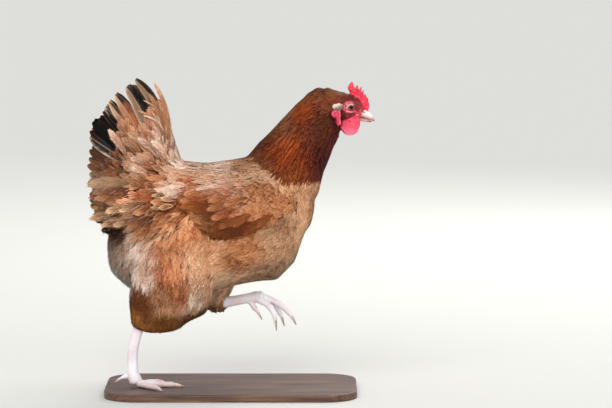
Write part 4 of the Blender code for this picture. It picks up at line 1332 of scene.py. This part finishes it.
def tract_of(points, out):
    """The feather tract that each point on the body belongs to. out is the way out of the body there."""
    x, y, z = mm_of(points).T
    on = {name: near_shell(points, solid_of(name), 1.5) for name in FLESH if name not in ("head", "trunk")}
    tract = np.full(len(points), "breast", dtype=object)
    tract[(z > 258) & (x < 60)] = "back"
    tract[(x < -128) & (z < 215)] = "vent"
    tract[(x < -62) & (z > 215)] = "coverts"
    for word in SIDES:
        tract[on[f"wing_{word}"]] = "wing"
        below = (tract == "wing") & (z < wing_edge(x))
        tract[below] = np.where(x < -4, "thigh", "breast")[below]
        tract[on[f"thigh_{word}"]] = "thigh"
    tract[on["tail"]] = "coverts"
    tract[(on["thigh_left"] | on["thigh_right"]) & (z < 238) & (x > -100)] = "thigh"
    tract[on["neck"] & (cape_height(points) > 4)] = "hackle"
    angle, reach = fan_polar(points)
    inner = out[:, 1] * np.sign(y) < 0.2
    for name in FANS:
        tract[near_shell(points, solid_of(name), 2.5) & inner & (reach > 55)] = "none"  # between the fans
    tract[(x < -95) & (z > 215) & (reach > coverts_end(angle) - 8)] = "none"
    tract[(above_crown(points) > 20) & (x > 117)] = "none"  # coat_head takes the head
    return tract


# Each tract: the part of the map it takes, cells along a vane, barbs on a side and their angle, how far they
# stand off, the vane's shape, how stiffly shafts leave the body, how close feathers grow, the vane's share of
# the width, how mottled feathers and barbs are, and how the vane is marked.
TRACTS = {
    "hackle": (
        "cape", 7, 12, 15, 0.35, "lance", 0.1, 0.25, 0.85, 0.38, 0.42,
        {"edge": 0.85, "core": 0.6, "tip": 0.15, "root": 0.1},
    ),
    "back": (
        "body", 6, 13, 22, 0.4, "lance", 0.12, 0.29, 0.85, 0.42, 0.48,
        {"edge": 0.6, "core": 0.4, "tip": 0.5, "root": 0.3},
    ),
    "breast": (
        "body", 5, 12, 27, 0.4, "round", 0.1, 0.265, 0.85, 0.55, 0.46,
        {"edge": 0.5, "core": 0.5, "tip": 0.75, "root": 0.3},
    ),
    "wing": (
        "wing", 6, 12, 27, 0.35, "spoon", 0.2, 0.3, 0.85, 0.5, 0.48,
        {"edge": 0.65, "core": 0.45, "tip": 0.9, "root": 0.5},
    ),
    "thigh": (
        "body", 6, 20, 26, 1.3, "round", 0.2, 0.31, 0.6, 0.45, 0.38,
        {"edge": 0.15, "tip": 0.2, "root": 0.15},
    ),
    "vent": (
        "body", 6, 18, 28, 1.7, "round", 0.3, 0.31, 0.7, 0.3, 0.3,
        {"edge": 0.15, "tip": 0.3, "root": 0.3},
    ),
    "coverts": (
        "body", 7, 17, 25, 1.0, "spoon", 0.3, 0.38, 0.85, 0.5, 0.42,
        {"edge": 0.4, "core": 0.2, "tip": 0.55, "root": 0.7},
    ),
}  # fmt: skip
SLOTS = {"hackle": "hackle", "thigh": "fluff", "vent": "fluff", "coverts": "fluff"}  # plumage for the others
NO_LIMIT, SHORTEST = 99, 8  # mm


def longest(tract, roots):
    """How long each of a tract's feathers may be, in mm, so that it ends at the tract's edge."""
    limit = np.full(len(roots), float(NO_LIMIT))
    if tract == "hackle":
        limit = (cape_height(roots) * 1.12 + 8) * chance.uniform(0.76, 1.14, len(roots))
    if tract == "coverts":
        way, reach = fan_polar(roots)
        limit = np.where(mm_of(roots)[:, 0] < -80, coverts_end(way) - reach + 3, limit)
    if tract == "wing":
        x, _, z = mm_of(roots).T
        limit = np.minimum(7 + 1.3 * (z - wing_edge(x - 10)), (x + 70) * 1.1)
        limit = np.clip(limit, SHORTEST + 0.1, NO_LIMIT)
    return limit


def coat_body(guide, skin, material):
    """The plumage of neck, trunk, wings, thighs and tail coverts."""
    centre = guide.points[guide.faces].mean(axis=1)
    tracts = tract_of(centre, unit(guide.normals[guide.faces].mean(axis=1)))
    for name, row in TRACTS.items():
        part, steps, barbs, angle, off, shape, stiff, close, share, mottle, streak, marks = row
        roots = guide.sow(np.flatnonzero(tracts == name), part, close)
        limit = longest(name, roots)
        roots, limit = roots[limit > SHORTEST], limit[limit > SHORTEST]
        laid = lead(guide, skin, roots, part, steps, stiff, lift=off, mottle=mottle, shape=shape, limit=limit)
        if name in ("breast", "hackle"):
            laid = swollen(laid)
        batch = Batch()
        end, over, spread = (0.8, 0.3, 0.2) if name in ("thigh", "vent") else (0.95, 0.14, 0.1)
        laid.vanes(batch, cells=3, ragged=0.14, camber=0.06, share=share, end=end, **marks)
        loose = {"lift": off * 0.7, "thick": 0.3, "streak": streak, "over": over, "spread": spread}
        laid.barbs(batch, barbs, angle, **loose, **marks)
        sew(f"coat_{name}", batch, material, SLOTS.get(name, "plumage"))


def coat_head(guide, hide, material):
    """The small feathers of crown, cheeks, ear and throat."""
    centre = hide.points[hide.faces].mean(axis=1)
    x, y, z = mm_of(centre).T
    keep = (above_crown(centre) > 4) & (x > 112) & (x < 176)
    keep &= (eye_distance(mm_of(centre)) > 2.35) | (abs(y) < 6)  # bare round the eye
    keep &= (abs(z - MOUTH_CORNER) > 2.2) | (x < 156)
    keep &= (x < 167) | (z > 376)
    keep &= (x < 156) | (z < 394)
    for shell in SOFT_PARTS.values():
        keep &= ~near_shell(centre, shell, 0.5)
    behind = x < 139
    zones = ((behind, 0.27), (~behind, 0.38))
    roots = np.concatenate([hide.sow(np.flatnonzero(keep & zone), "cape", close) for zone, close in zones])
    at = mm_of(roots)
    ear = np.hypot((at[:, 0] - EAR_AT[0]) / 6.2, (at[:, 2] - EAR_AT[2]) / 4.8) + (abs(at[:, 1]) < 12) * 9
    bristly = ease(3.2, 2.35, eye_distance(at)) * 0.6 + ease(160, 166, at[:, 0]) * 0.3
    roots = roots[(ear > 0.95) & (chance.random(len(roots)) > bristly)]
    batch = Batch()
    rear = above_crown(roots) < 17
    for surface, sown in ((guide, roots[rear]), (hide, roots[~rear])):
        laid = lead(surface, hide, sown, "cape", 4, 0.2, lift=0.4, stray=10, sink=0.4, mottle=0.3)
        laid.shaft += laid.facing * (0.5 * MM if surface is guide else 0)
        laid = swollen(laid)
        laid.vanes(batch, cells=2, ragged=0.25, edge=0.4, core=0.3)
        laid.barbs(batch, 4, 24, lift=0.35, thick=0.2, streak=0.4, edge=0.4)
    ear_tuft(hide, batch)
    sew("coat_head", batch, material, "hackle")


def ear_tuft(hide, batch):
    """The oval tuft of stiff, pale feathers that covers the ear: cream above and behind, grey-brown below."""
    mm = mm_of(hide.points[hide.faces].mean(axis=1))
    inside = np.hypot((mm[:, 0] - EAR_AT[0] - 1) / 5.6, (mm[:, 2] - EAR_AT[2]) / 4.3) < 1
    roots = hide.sow(np.flatnonzero(inside & (abs(mm[:, 1]) > 12)), "cape", 0.2)
    limit = np.full(len(roots), 5.0)
    laid = lead(hide, hide, roots, "cape", 4, 0.1, lift=0.5, stray=9, sink=0.3, limit=limit)
    laid.shaft += laid.facing * 0.9 * MM
    at = mm_of(roots)
    below = (at[:, 0] - EAR_AT[0]) * 0.45 - (at[:, 2] - EAR_AT[2]) * 0.9 + chance.normal(0, 0.5, len(at))
    laid.tint = toward(evenly(roots, "#ecd4c4"), "#7a5444", ease(-2.2, 2.2, below))
    laid.pale = toward(laid.tint, "#fff2e8", 0.6)
    laid.dark = laid.tint * 0.6
    laid.width = laid.width * 0.5
    laid.vanes(batch, cells=2, ragged=0.3, edge=0.3, root=0.3)
    laid.barbs(batch, 4, 14, lift=0.2, thick=0.14, streak=0.25, root=0.3)


# ---- tail, wing edge and loose coverts ----

VANE_COLOURS = {
    "jet": "#060505", "slate": "#1b161e", "umber": "#40281b", "brown": "#5d3c28", "chestnut": "#764628",
    "dun": "#735946", "clay": "#946446", "tan": "#866a52", "rust": "#a46040", "buff": "#b48e70",
    "cream": "#dec2a6",
}  # fmt: skip

# Tail feathers from the top down: the angle of the tip and its reach, the widths of the upper and the lower
# vane and how far the shaft bends, in degrees and mm, the colours of upper vane, lower vane, rim and base,
# and how far up the shaft the base's colour goes.
TAIL_FEATHERS = (
    (105.2, 148, 6, 8, 15, "jet", "tan", "buff", "chestnut", 0.74),
    (111.0, 142, 19, 9, 7, "jet", "tan", "cream", "jet", 0.2),
    (118.2, 139, 9, 7, 3, "slate", "buff", "cream", "rust", 0.78),
    (123.4, 135, 6, 6, 2, "umber", "buff", "cream", "rust", 0.74),
    (126.4, 132, 8, 8, 2, "slate", "slate", "cream", "buff", 0.74),
    (129.4, 129, 7, 6, 2, "jet", "jet", "brown", "umber", 0.5),
    (134, 126, 8, 8, 1, "jet", "jet", "umber", "jet", 0.3),
    (138.2, 128.5, 9, 9, 1, "jet", "jet", "jet", "jet", 0.3),
    (143.4, 123.5, 8, 8, 0, "jet", "jet", "chestnut", "jet", 0.3),
    (146.6, 119, 8, 9, 0, "slate", "slate", "cream", "slate", 0.3),
    (154.4, 110.5, 8, 9, 0, "umber", "umber", "chestnut", "umber", 0.4),
    (160, 107, 8, 8, 0, "umber", "brown", "clay", "umber", 0.4),
    (165, 106, 8, 8, 0, "brown", "brown", "clay", "brown", 0.4),
    (171, 101, 9, 8, 0, "dun", "dun", "buff", "dun", 0.4),
    (178, 102, 10, 9, 0, "clay", "clay", "buff", "chestnut", 0.4),
    (187, 100, 9, 9, 0, "brown", "chestnut", "clay", "umber", 0.4),
    (196, 102, 9, 9, 0, "chestnut", "clay", "buff", "brown", 0.4),
    (206, 103, 9, 8, 0, "clay", "clay", "cream", "chestnut", 0.4),
    (216, 100, 8, 8, 0, "clay", "clay", "cream", "chestnut", 0.4),
)  # fmt: skip


QUILLS_FROM = 20  # mm from the fan's root, where the tail feathers' shafts start


def fan_side(angle):
    """How far the tail's sheet lies from the midline at that angle, in mm."""
    return 5 + 45 * np.clip((angle - 97) / 127, 0, 1) ** 0.8


def tail_feathers(skin, side, batch):
    """One side's tail feathers: stiff quills whose upper and lower vanes differ in colour."""
    steps = 20
    t = np.linspace(0, 1, steps + 1)
    tips, reaches, above, below, bends = np.array([row[:5] for row in TAIL_FEATHERS], float).T
    shaft = np.zeros((len(tips), steps + 1, 3))
    facing = np.zeros_like(shaft)
    for index, (tip, reach, bend) in enumerate(zip(tips, reaches, bends)):
        radius = QUILLS_FROM + (reach - QUILLS_FROM) * t
        angle = np.radians(tip - bend * (1 - t**2.4))
        lateral = fan_side(tip) + 0.6 - 4 * (1 - t) ** 2 + 1.5 * np.sin(t * 3) * ((index % 2) - 0.5)
        x = FAN_ROOT[0] + radius * np.cos(angle)
        z = FAN_ROOT[1] + radius * np.sin(angle) + lateral * 0.08
        shaft[index] = GROUND + np.stack([x, side * lateral, z], axis=1) * MM
        slope = (fan_side(tip + 2) - fan_side(tip - 2)) / 4 / (radius * math.pi / 180)
        turning = np.stack([-np.sin(angle), side * slope, np.cos(angle)], axis=1)
        outward = np.stack([np.cos(angle), 0 * angle, np.sin(angle)], axis=1)
        facing[index] = np.cross(outward, turning)
    facing = unit(np.where(facing[..., 1:2] * side < 0, -facing, facing))
    facing[..., 2] += 0.16
    named = ([linear(VANE_COLOURS[row[k]]) for row in TAIL_FEATHERS] for k in (5, 6, 7, 8))
    upper, *colours = (np.array(column) for column in named)
    length, width = (reaches - QUILLS_FROM) * MM, (above + below) * MM
    fore = above / (above + below)
    maps = skin.on_map(shaft[:, 3])
    fan = Feathers(shaft, facing, length, width, colours, maps, "quill", fore if side < 0 else 1 - fore)
    based = np.array([row[9] for row in TAIL_FEATHERS])

    def marked(t, s, feathers):
        """A dark or tan vane on each side of a pale shaft, rims of another colour, and a base of its own."""
        own = (upper, feathers.tint, feathers.pale, feathers.dark, feathers.key, based)
        above, below, rim, base, key, base_end = (feathers.column(v, t) for v in own)
        wave = 0.1 * np.sin(t * 19 + key * 40) + 0.06 * np.sin(t * 43 + key * 90)
        split = ease(-0.03, 0.03, s * -side)[..., None]
        mixed = below + (above - below) * split
        mixed = mixed + (base - mixed) * (1 - ease(-0.06, 0.06, t + wave * 0.5 - base_end))[..., None]
        at_edge, at_tip = ease(0.7, 0.95, abs(s) + wave) * 0.8, ease(0.95, 0.99, t + wave * 0.1) * 0.6
        at_rim = np.maximum(at_edge, at_tip)[..., None]
        near_shaft = (np.clip(1 - abs(s) * 9, 0, 1) * 0.2)[..., None]
        return mixed + (rim - mixed) * np.maximum(at_rim * (1 - 0.85 * split), near_shaft)

    fan.pattern = marked
    fan.vanes(batch, cells=12, camber=0.12, ragged=0.05)
    fan.barbs(batch, 90, 32, lift=0.15, thick=0.22, over=0.05, spread=0.03, streak=0.03, first=0.3)
    rachis(batch, fan)


def rachis(batch, feathers, radius=0.5):
    """Adds each feather's shaft as a thin raised rib, thinner towards the tip."""
    count, along = feathers.shaft.shape[:2]
    taper = (radius * MM * np.linspace(1.0, 0.2, along))[None, :, None]
    rise = feathers.shaft + feathers.facing * 0.15 * MM
    half = feathers.across * taper
    points = np.stack([rise - half, rise + feathers.facing * taper * 1.2, rise + half], axis=2)
    tints = np.broadcast_to((feathers.pale * 0.6)[:, None, None], points.shape)
    maps = np.broadcast_to(feathers.maps[:, None, None], points.shape[:-1] + (2,))
    batch.add(points, grid_quads(count, along, 3), tints, np.zeros(points.shape), maps)


# Loose feathers: root and tip (mm forward, off the midline, above the base), how far the middle bows, the
# vane's width, its tone and how light it is.
LOOSE_TAIL = (
    ((-85, 6, 322), (-103, 4, 409), (9, 0, 1), 6, "fawn", 1.1),
    ((-88, 8, 326), (-110, 8, 396), (6, 0, 2), 7, "golden_buff", 0.7),
    ((-84, 10, 316), (-97, 8, 386), (7, 0, 1), 7, "golden_buff", 0.9),
    ((-88, 16, 346), (-117, 14, 387), (5, 1, 7), 2.8, "buff", 1.3),
    ((-86, 22, 330), (-117, 20, 367), (6, 1, 8), 3, "cream", 1.15),
    ((-88, 24, 336), (-124, 22, 374), (4, 1, 6), 3.6, "golden_buff", 0.95),
    ((-84, 14, 338), (-108, 12, 378), (4, 1, 6), 3, "golden_buff", 0.9),
    ((-84, 20, 304), (-106, 26, 333), (3, 2, 3), 9, "cream", 1.2),
    ((-92, 34, 306), (-124, 36, 338), (1, 4, 4), 10, "rosy_cream", 0.95),
    ((-98, 40, 310), (-138, 38, 346), (0, 4, 4), 11, "fawn", 1),
    ((-108, 52, 288), (-133, 54, 299), (0, 4, 4), 10, "rosy_cream", 1.2),
    ((-112, 50, 302), (-134, 50, 312), (0, 4, 3), 8, "rosy_cream", 1),
    ((-118, 42, 318), (-146, 42, 338), (0, 4, 3), 11, "fawn", 0.85),
    ((-136, 43, 310), (-162.5, 40, 350), (0, 3, 1), 10.5, "rosy_cream", 1.15),
    ((-132, 51, 279), (-191, 48, 276), (0, 5, 3), 18, "buff", 0.8),
    ((-128, 54, 262), (-181, 54, 258), (0, 6, 3), 15, "tipped_cinnamon", 0.85),
    ((-134, 54, 272), (-184, 52, 266), (0, 3, 1), 12, "rosy_brown", 0.8),
    ((-126, 56, 249), (-166, 57, 240), (0, 5, 3), 12, "tipped_umber", 1.2),
    ((-112, 56, 252), (-148, 59, 242), (0, 5, 3), 13, "tipped_umber", 1.15),
    ((-148, 54, 238), (-188, 55, 231), (0, 4, 2), 11, "tipped_umber", 0.9),
    ((-136, 56, 232), (-172, 57, 222), (0, 4, 2), 11, "tipped_umber", 0.85),
    ((-120, 58, 235), (-156, 59, 222), (0, 5, 2), 12, "tipped_umber", 0.95),
    ((-104, 60, 236), (-138, 62, 218), (0, 4, 1), 13, "tipped_cinnamon", 0.7),
    ((-56, 58, 276), (-80, 67, 274), (0, 3, 3), 11, "cream", 1.25),
    ((-62, 56, 270), (-84, 66, 266), (0, 3, 2), 11, "cream", 1.1),
)  # fmt: skip

LOOSE_WING = (
    ((60, 71, 244), (36, 80, 222), (0, 3, 1), 11, "walnut", 1.25),
    ((54, 73, 240), (28, 81, 216), (0, 3, 1), 11, "walnut", 0.95),
    ((46, 74, 237), (19, 82, 211), (0, 3, 1), 12, "wing_brown", 1.2),
    ((38, 75, 234), (9, 83, 211), (0, 3, 1), 12, "wing_brown", 0.95),
    ((30, 76, 232), (0, 84, 209), (0, 3, 1), 12, "wing_brown", 0.8),
    ((21, 77, 231), (-9, 84, 209), (0, 3, 1), 12, "wing_brown", 0.8),
    ((12, 78, 233), (-16, 85, 213), (0, 3, 1), 12, "wing_brown", 0.95),
    ((2, 78, 238), (-25, 85, 218), (0, 3, 1), 12, "wing_brown", 1.2),
    ((-4, 78, 245), (-36, 84, 233), (0, 4, 1), 12, "walnut", 0.7),
    ((-12, 78, 249), (-48, 84, 243), (0, 4, 1), 12, "wing_brown", 1.3),
    ((-8, 78, 254), (-58, 83, 249), (0, 4, 1), 13, "umber", 1.2),
    ((-20, 77, 257), (-66, 81, 250), (0, 4, 1), 12, "umber", 1.4),
    ((-10, 75, 263), (-67, 78, 258), (0, 4, 1), 12, "rust", 1.3),
    ((-22, 73, 268), (-62, 75, 266), (0, 4, 2), 9, "cinnamon", 1.2),
    ((22, 76, 240), (-14, 82, 222), (0, 4, 1), 11, "walnut", 1.25),
    ((34, 75, 244), (4, 81, 224), (0, 4, 1), 10, "walnut", 1.4),
    ((12, 77, 248), (-24, 82, 234), (0, 4, 1), 11, "rust", 1.15),
    ((6, 76, 256), (-30, 80, 246), (0, 4, 1), 11, "cinnamon", 0.85),
    ((10, 74, 264), (-28, 78, 257), (0, 4, 1), 10, "cinnamon", 0.95),
    ((26, 73, 262), (-8, 78, 252), (0, 4, 1), 10, "cinnamon", 0.95),
    ((6, 70, 275), (-46, 72, 272), (0, 4, 3), 6, "cream", 1),
    ((-10, 70, 274), (-60, 72, 268), (0, 4, 3), 5.5, "rosy_cream", 1.05),
    ((16, 69, 277), (-30, 71, 276), (0, 4, 3), 6, "rosy_cream", 1.05),
)  # fmt: skip


def rest_on(guide, shaft, side, off):
    """Moves each shaft sideways onto the guide's outer side, off by so many metres, and keeps it smooth."""
    t = np.linspace(0, 1, shaft.shape[1])
    laid = shaft.copy()
    for row, line in enumerate(shaft):
        hits = [guide.tree.ray_cast((x, side * 0.2, z), (0, -side, 0))[0] for x, _, z in line.tolist()]
        on = np.array([hit is not None and hit.y * side > 0.003 for hit in hits])
        if on.sum() > 3:
            beside = np.interp(t, t[on], [hit.y for hit, kept in zip(hits, on) if kept])
            laid[row, :, 1] = np.polyval(np.polyfit(t, beside, 3), t) + side * off[row]
    laid[..., 2] += 0.1 * (abs(laid[..., 1]) - abs(shaft[..., 1]))  # a shaft moved in also sits lower
    return laid


def loose_feathers(rows, guide, skin, side, batch, share=0.85, buried=3):
    """Adds single feathers on one side, each on a bowed shaft from its tip to its root, buried so many mm."""
    t = np.linspace(0, 1, 13)[None, :, None]
    root, tip, bow = (np.array([row[k] for row in rows], float) * (1, side, 1) for k in range(3))
    shaft = root[:, None] + (tip - root)[:, None] * t + bow[:, None] * np.sin(t * math.pi)
    layer = 2.2 + 0.9 * (np.arange(len(rows)) % 3)[:, None]
    off = layer + 2 * t[..., 0] ** 2 - buried * (1 - t[..., 0]) ** 1.5
    shaft = rest_on(guide, GROUND + shaft * MM, side, off * MM)
    length = np.linalg.norm(tip - root, axis=1) * MM
    out = guide.nearest(shaft.reshape(-1, 3))[2].reshape(shaft.shape)
    facing = unit(out + np.array([-0.05, side * 1.0, 0.2]))
    colours = feather_colours([row[4:] for row in rows])
    width = np.array([row[3] for row in rows], float) * MM
    laid = Feathers(shaft, facing, length, width, colours, skin.on_map(shaft[:, 2]), "spoon")
    # The strong darkening at the root is partly the feathers' own darker base and partly painted shade in the
    # gaps where they tuck under the coat.
    marks = {"edge": 0.35, "tip": 0.75, "root": 0.8, "core": 0.25}
    laid.vanes(batch, cells=6, camber=0.3, ragged=0.2, share=share, **marks)
    laid.barbs(batch, 84, 22, lift=0.5, over=0.22, spread=0.1, thick=0.2, streak=0.34, **marks)


def coat_tail(guide, skin, material):
    """The tail feathers and the loose feathers of tail and wing, on both sides."""
    for word, side in SIDES.items():
        batch = Batch()
        tail_feathers(skin, side, batch)
        loose_feathers(LOOSE_TAIL, guide, skin, side, batch)
        sew(f"tail_feathers_{word}", batch, material, "tail", f"tail_fan_{word}")
        batch = Batch()
        loose_feathers(LOOSE_WING, guide, skin, side, batch, share=0.9, buried=4)
        sew(f"wing_feathers_{word}", batch, material, "plumage")


# ---- stand, floor, light and camera ----


def display_board():
    """The base: a flat board with rounded corners and a softened top edge."""
    length, width, height = (np.array(base_high) - np.array(base_low)) / MM
    corner, soft, chamfer = 45.0, 2.2, 0.6  # mm
    edge_steps, corner_steps = 6, 16
    rings = [(-height, chamfer), (-height + chamfer, 0.0)]
    for step in range(edge_steps + 1):
        a = math.radians(90 * step / edge_steps)
        rings.append((-soft + soft * math.sin(a), soft - soft * math.cos(a)))
    points = []
    for z, inset in rings:
        reach = corner - inset
        for quarter, (sx, sy) in enumerate(((1, 1), (-1, 1), (-1, -1), (1, -1))):
            x, y = sx * (length / 2 - corner), sy * (width / 2 - corner)
            for step in range(corner_steps + 1):
                a = math.radians(90 * (quarter + step / corner_steps))
                points.append((x + reach * math.cos(a), y + reach * math.sin(a), z))
    per_ring = len(points) // len(rings)
    board = bmesh.new()
    verts = [board.verts.new(place(*point)) for point in points]
    for low in range(len(rings) - 1):
        for k in range(per_ring):
            a, b = low * per_ring + k, low * per_ring + (k + 1) % per_ring
            board.faces.new((verts[a], verts[b], verts[b + per_ring], verts[a + per_ring]))
    board.faces.new(verts[:per_ring][::-1])
    board.faces.new(verts[-per_ring:])
    mesh = bpy.data.meshes.new("stand_board")
    board.to_mesh(mesh)
    board.free()
    mesh.shade_smooth()
    piece = add_object("stand_board", mesh)
    piece.modifiers.new("even shading", "WEIGHTED_NORMAL").keep_sharp = True
    fit(piece, oiled_walnut(), "stand", "stand_base")


def floor_and_light():
    """A wide floor under the base, a pale sky, and daylight from the side that the camera is on."""
    low, half = cad_box[0][2], 60
    corners = [(x * half, y * half, low) for x, y in ((-1, -1), (1, -1), (1, 1), (-1, 1))]
    mesh = bpy.data.meshes.new("floor")
    mesh.from_pydata(corners, [], [(0, 1, 2, 3)])
    floor = add_object("floor", mesh)
    mesh.materials.append(plain_paint("matt_floor_paint", "#d2d2ce", 0.9))

    world = bpy.data.worlds.new("soft_studio")
    world.use_nodes = True
    sky = world.node_tree.nodes["Background"].inputs
    sky["Color"].default_value, sky["Strength"].default_value = (0.93, 0.96, 1.0, 1), 0.5
    bpy.context.scene.world = world
    bpy.context.scene.view_settings.view_transform = "Standard"
    sun("roof", (0.35, 0.2, 1.0), 0.9, 50)
    sun("window", (-0.3, -1.0, 0.75), 1.8, 45)
    sun("low_window", (0.35, -1.0, 0.1), 1.3, 60)
    lamp("rim", (0.9, 1.9, 1.7), 1.4, 26)


def sun(name, towards, power, spread):
    """Soft, even light from that way, spread over that many degrees."""
    light = bpy.data.lights.new(name, "SUN")
    light.energy, light.angle, light.color = power, math.radians(spread), (1.0, 0.98, 0.95)
    add_object(name, light).rotation_euler = Vector(towards).to_track_quat("Z", "Y").to_euler()


def lamp(name, at, size, power):
    """A square soft light that faces the hen."""
    light = bpy.data.lights.new(name, "AREA")
    light.shape, light.size, light.energy, light.color = "SQUARE", size, power, (1.0, 0.98, 0.96)
    aim_at(add_object(name, light), at, Vector((0, 0, 0.22)))


def aim_at(holder, at, aim):
    """Puts a lamp or camera at its place and turns it to face the aim."""
    holder.location = at
    holder.rotation_euler = (aim - holder.location).to_track_quat("-Z", "Y").to_euler()


def camera():
    """A long lens level with the hen's back, a little above it, square to its right side."""
    rise, distance, width_in_view = math.radians(6.0), 4.5, 0.8262
    aim = Vector(place(101.25, 0, 245.7))
    view = bpy.data.cameras.new("camera")
    view.sensor_width, view.clip_end = 36, 200
    view.lens = view.sensor_width * distance / width_in_view
    holder = add_object("camera", view)
    aim_at(holder, aim + Vector((0, -math.cos(rise), math.sin(rise))) * distance, aim)
    bpy.context.scene.camera = holder


camera()
floor_and_light()
display_board()
body_hide, head_hide = skin_piece()
beak_pieces()
for word, side in SIDES.items():
    eye_piece(word, side)
claw_horn = horn("claw_horn")
for claw in [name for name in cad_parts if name.startswith("claw_")]:
    refined(claw, 0.35 * MM, 2, claw_colours, claw_horn, "claw")
feather_material = feather_keratin()
guide = Hide(*fused(FLESH + list(FANS), 3.2 * MM, 8, grow={name: 1.3 for name in FANS}))
coat_body(guide, body_hide, feather_material)
coat_head(guide, head_hide, feather_material)
coat_tail(guide, body_hide, feather_material)
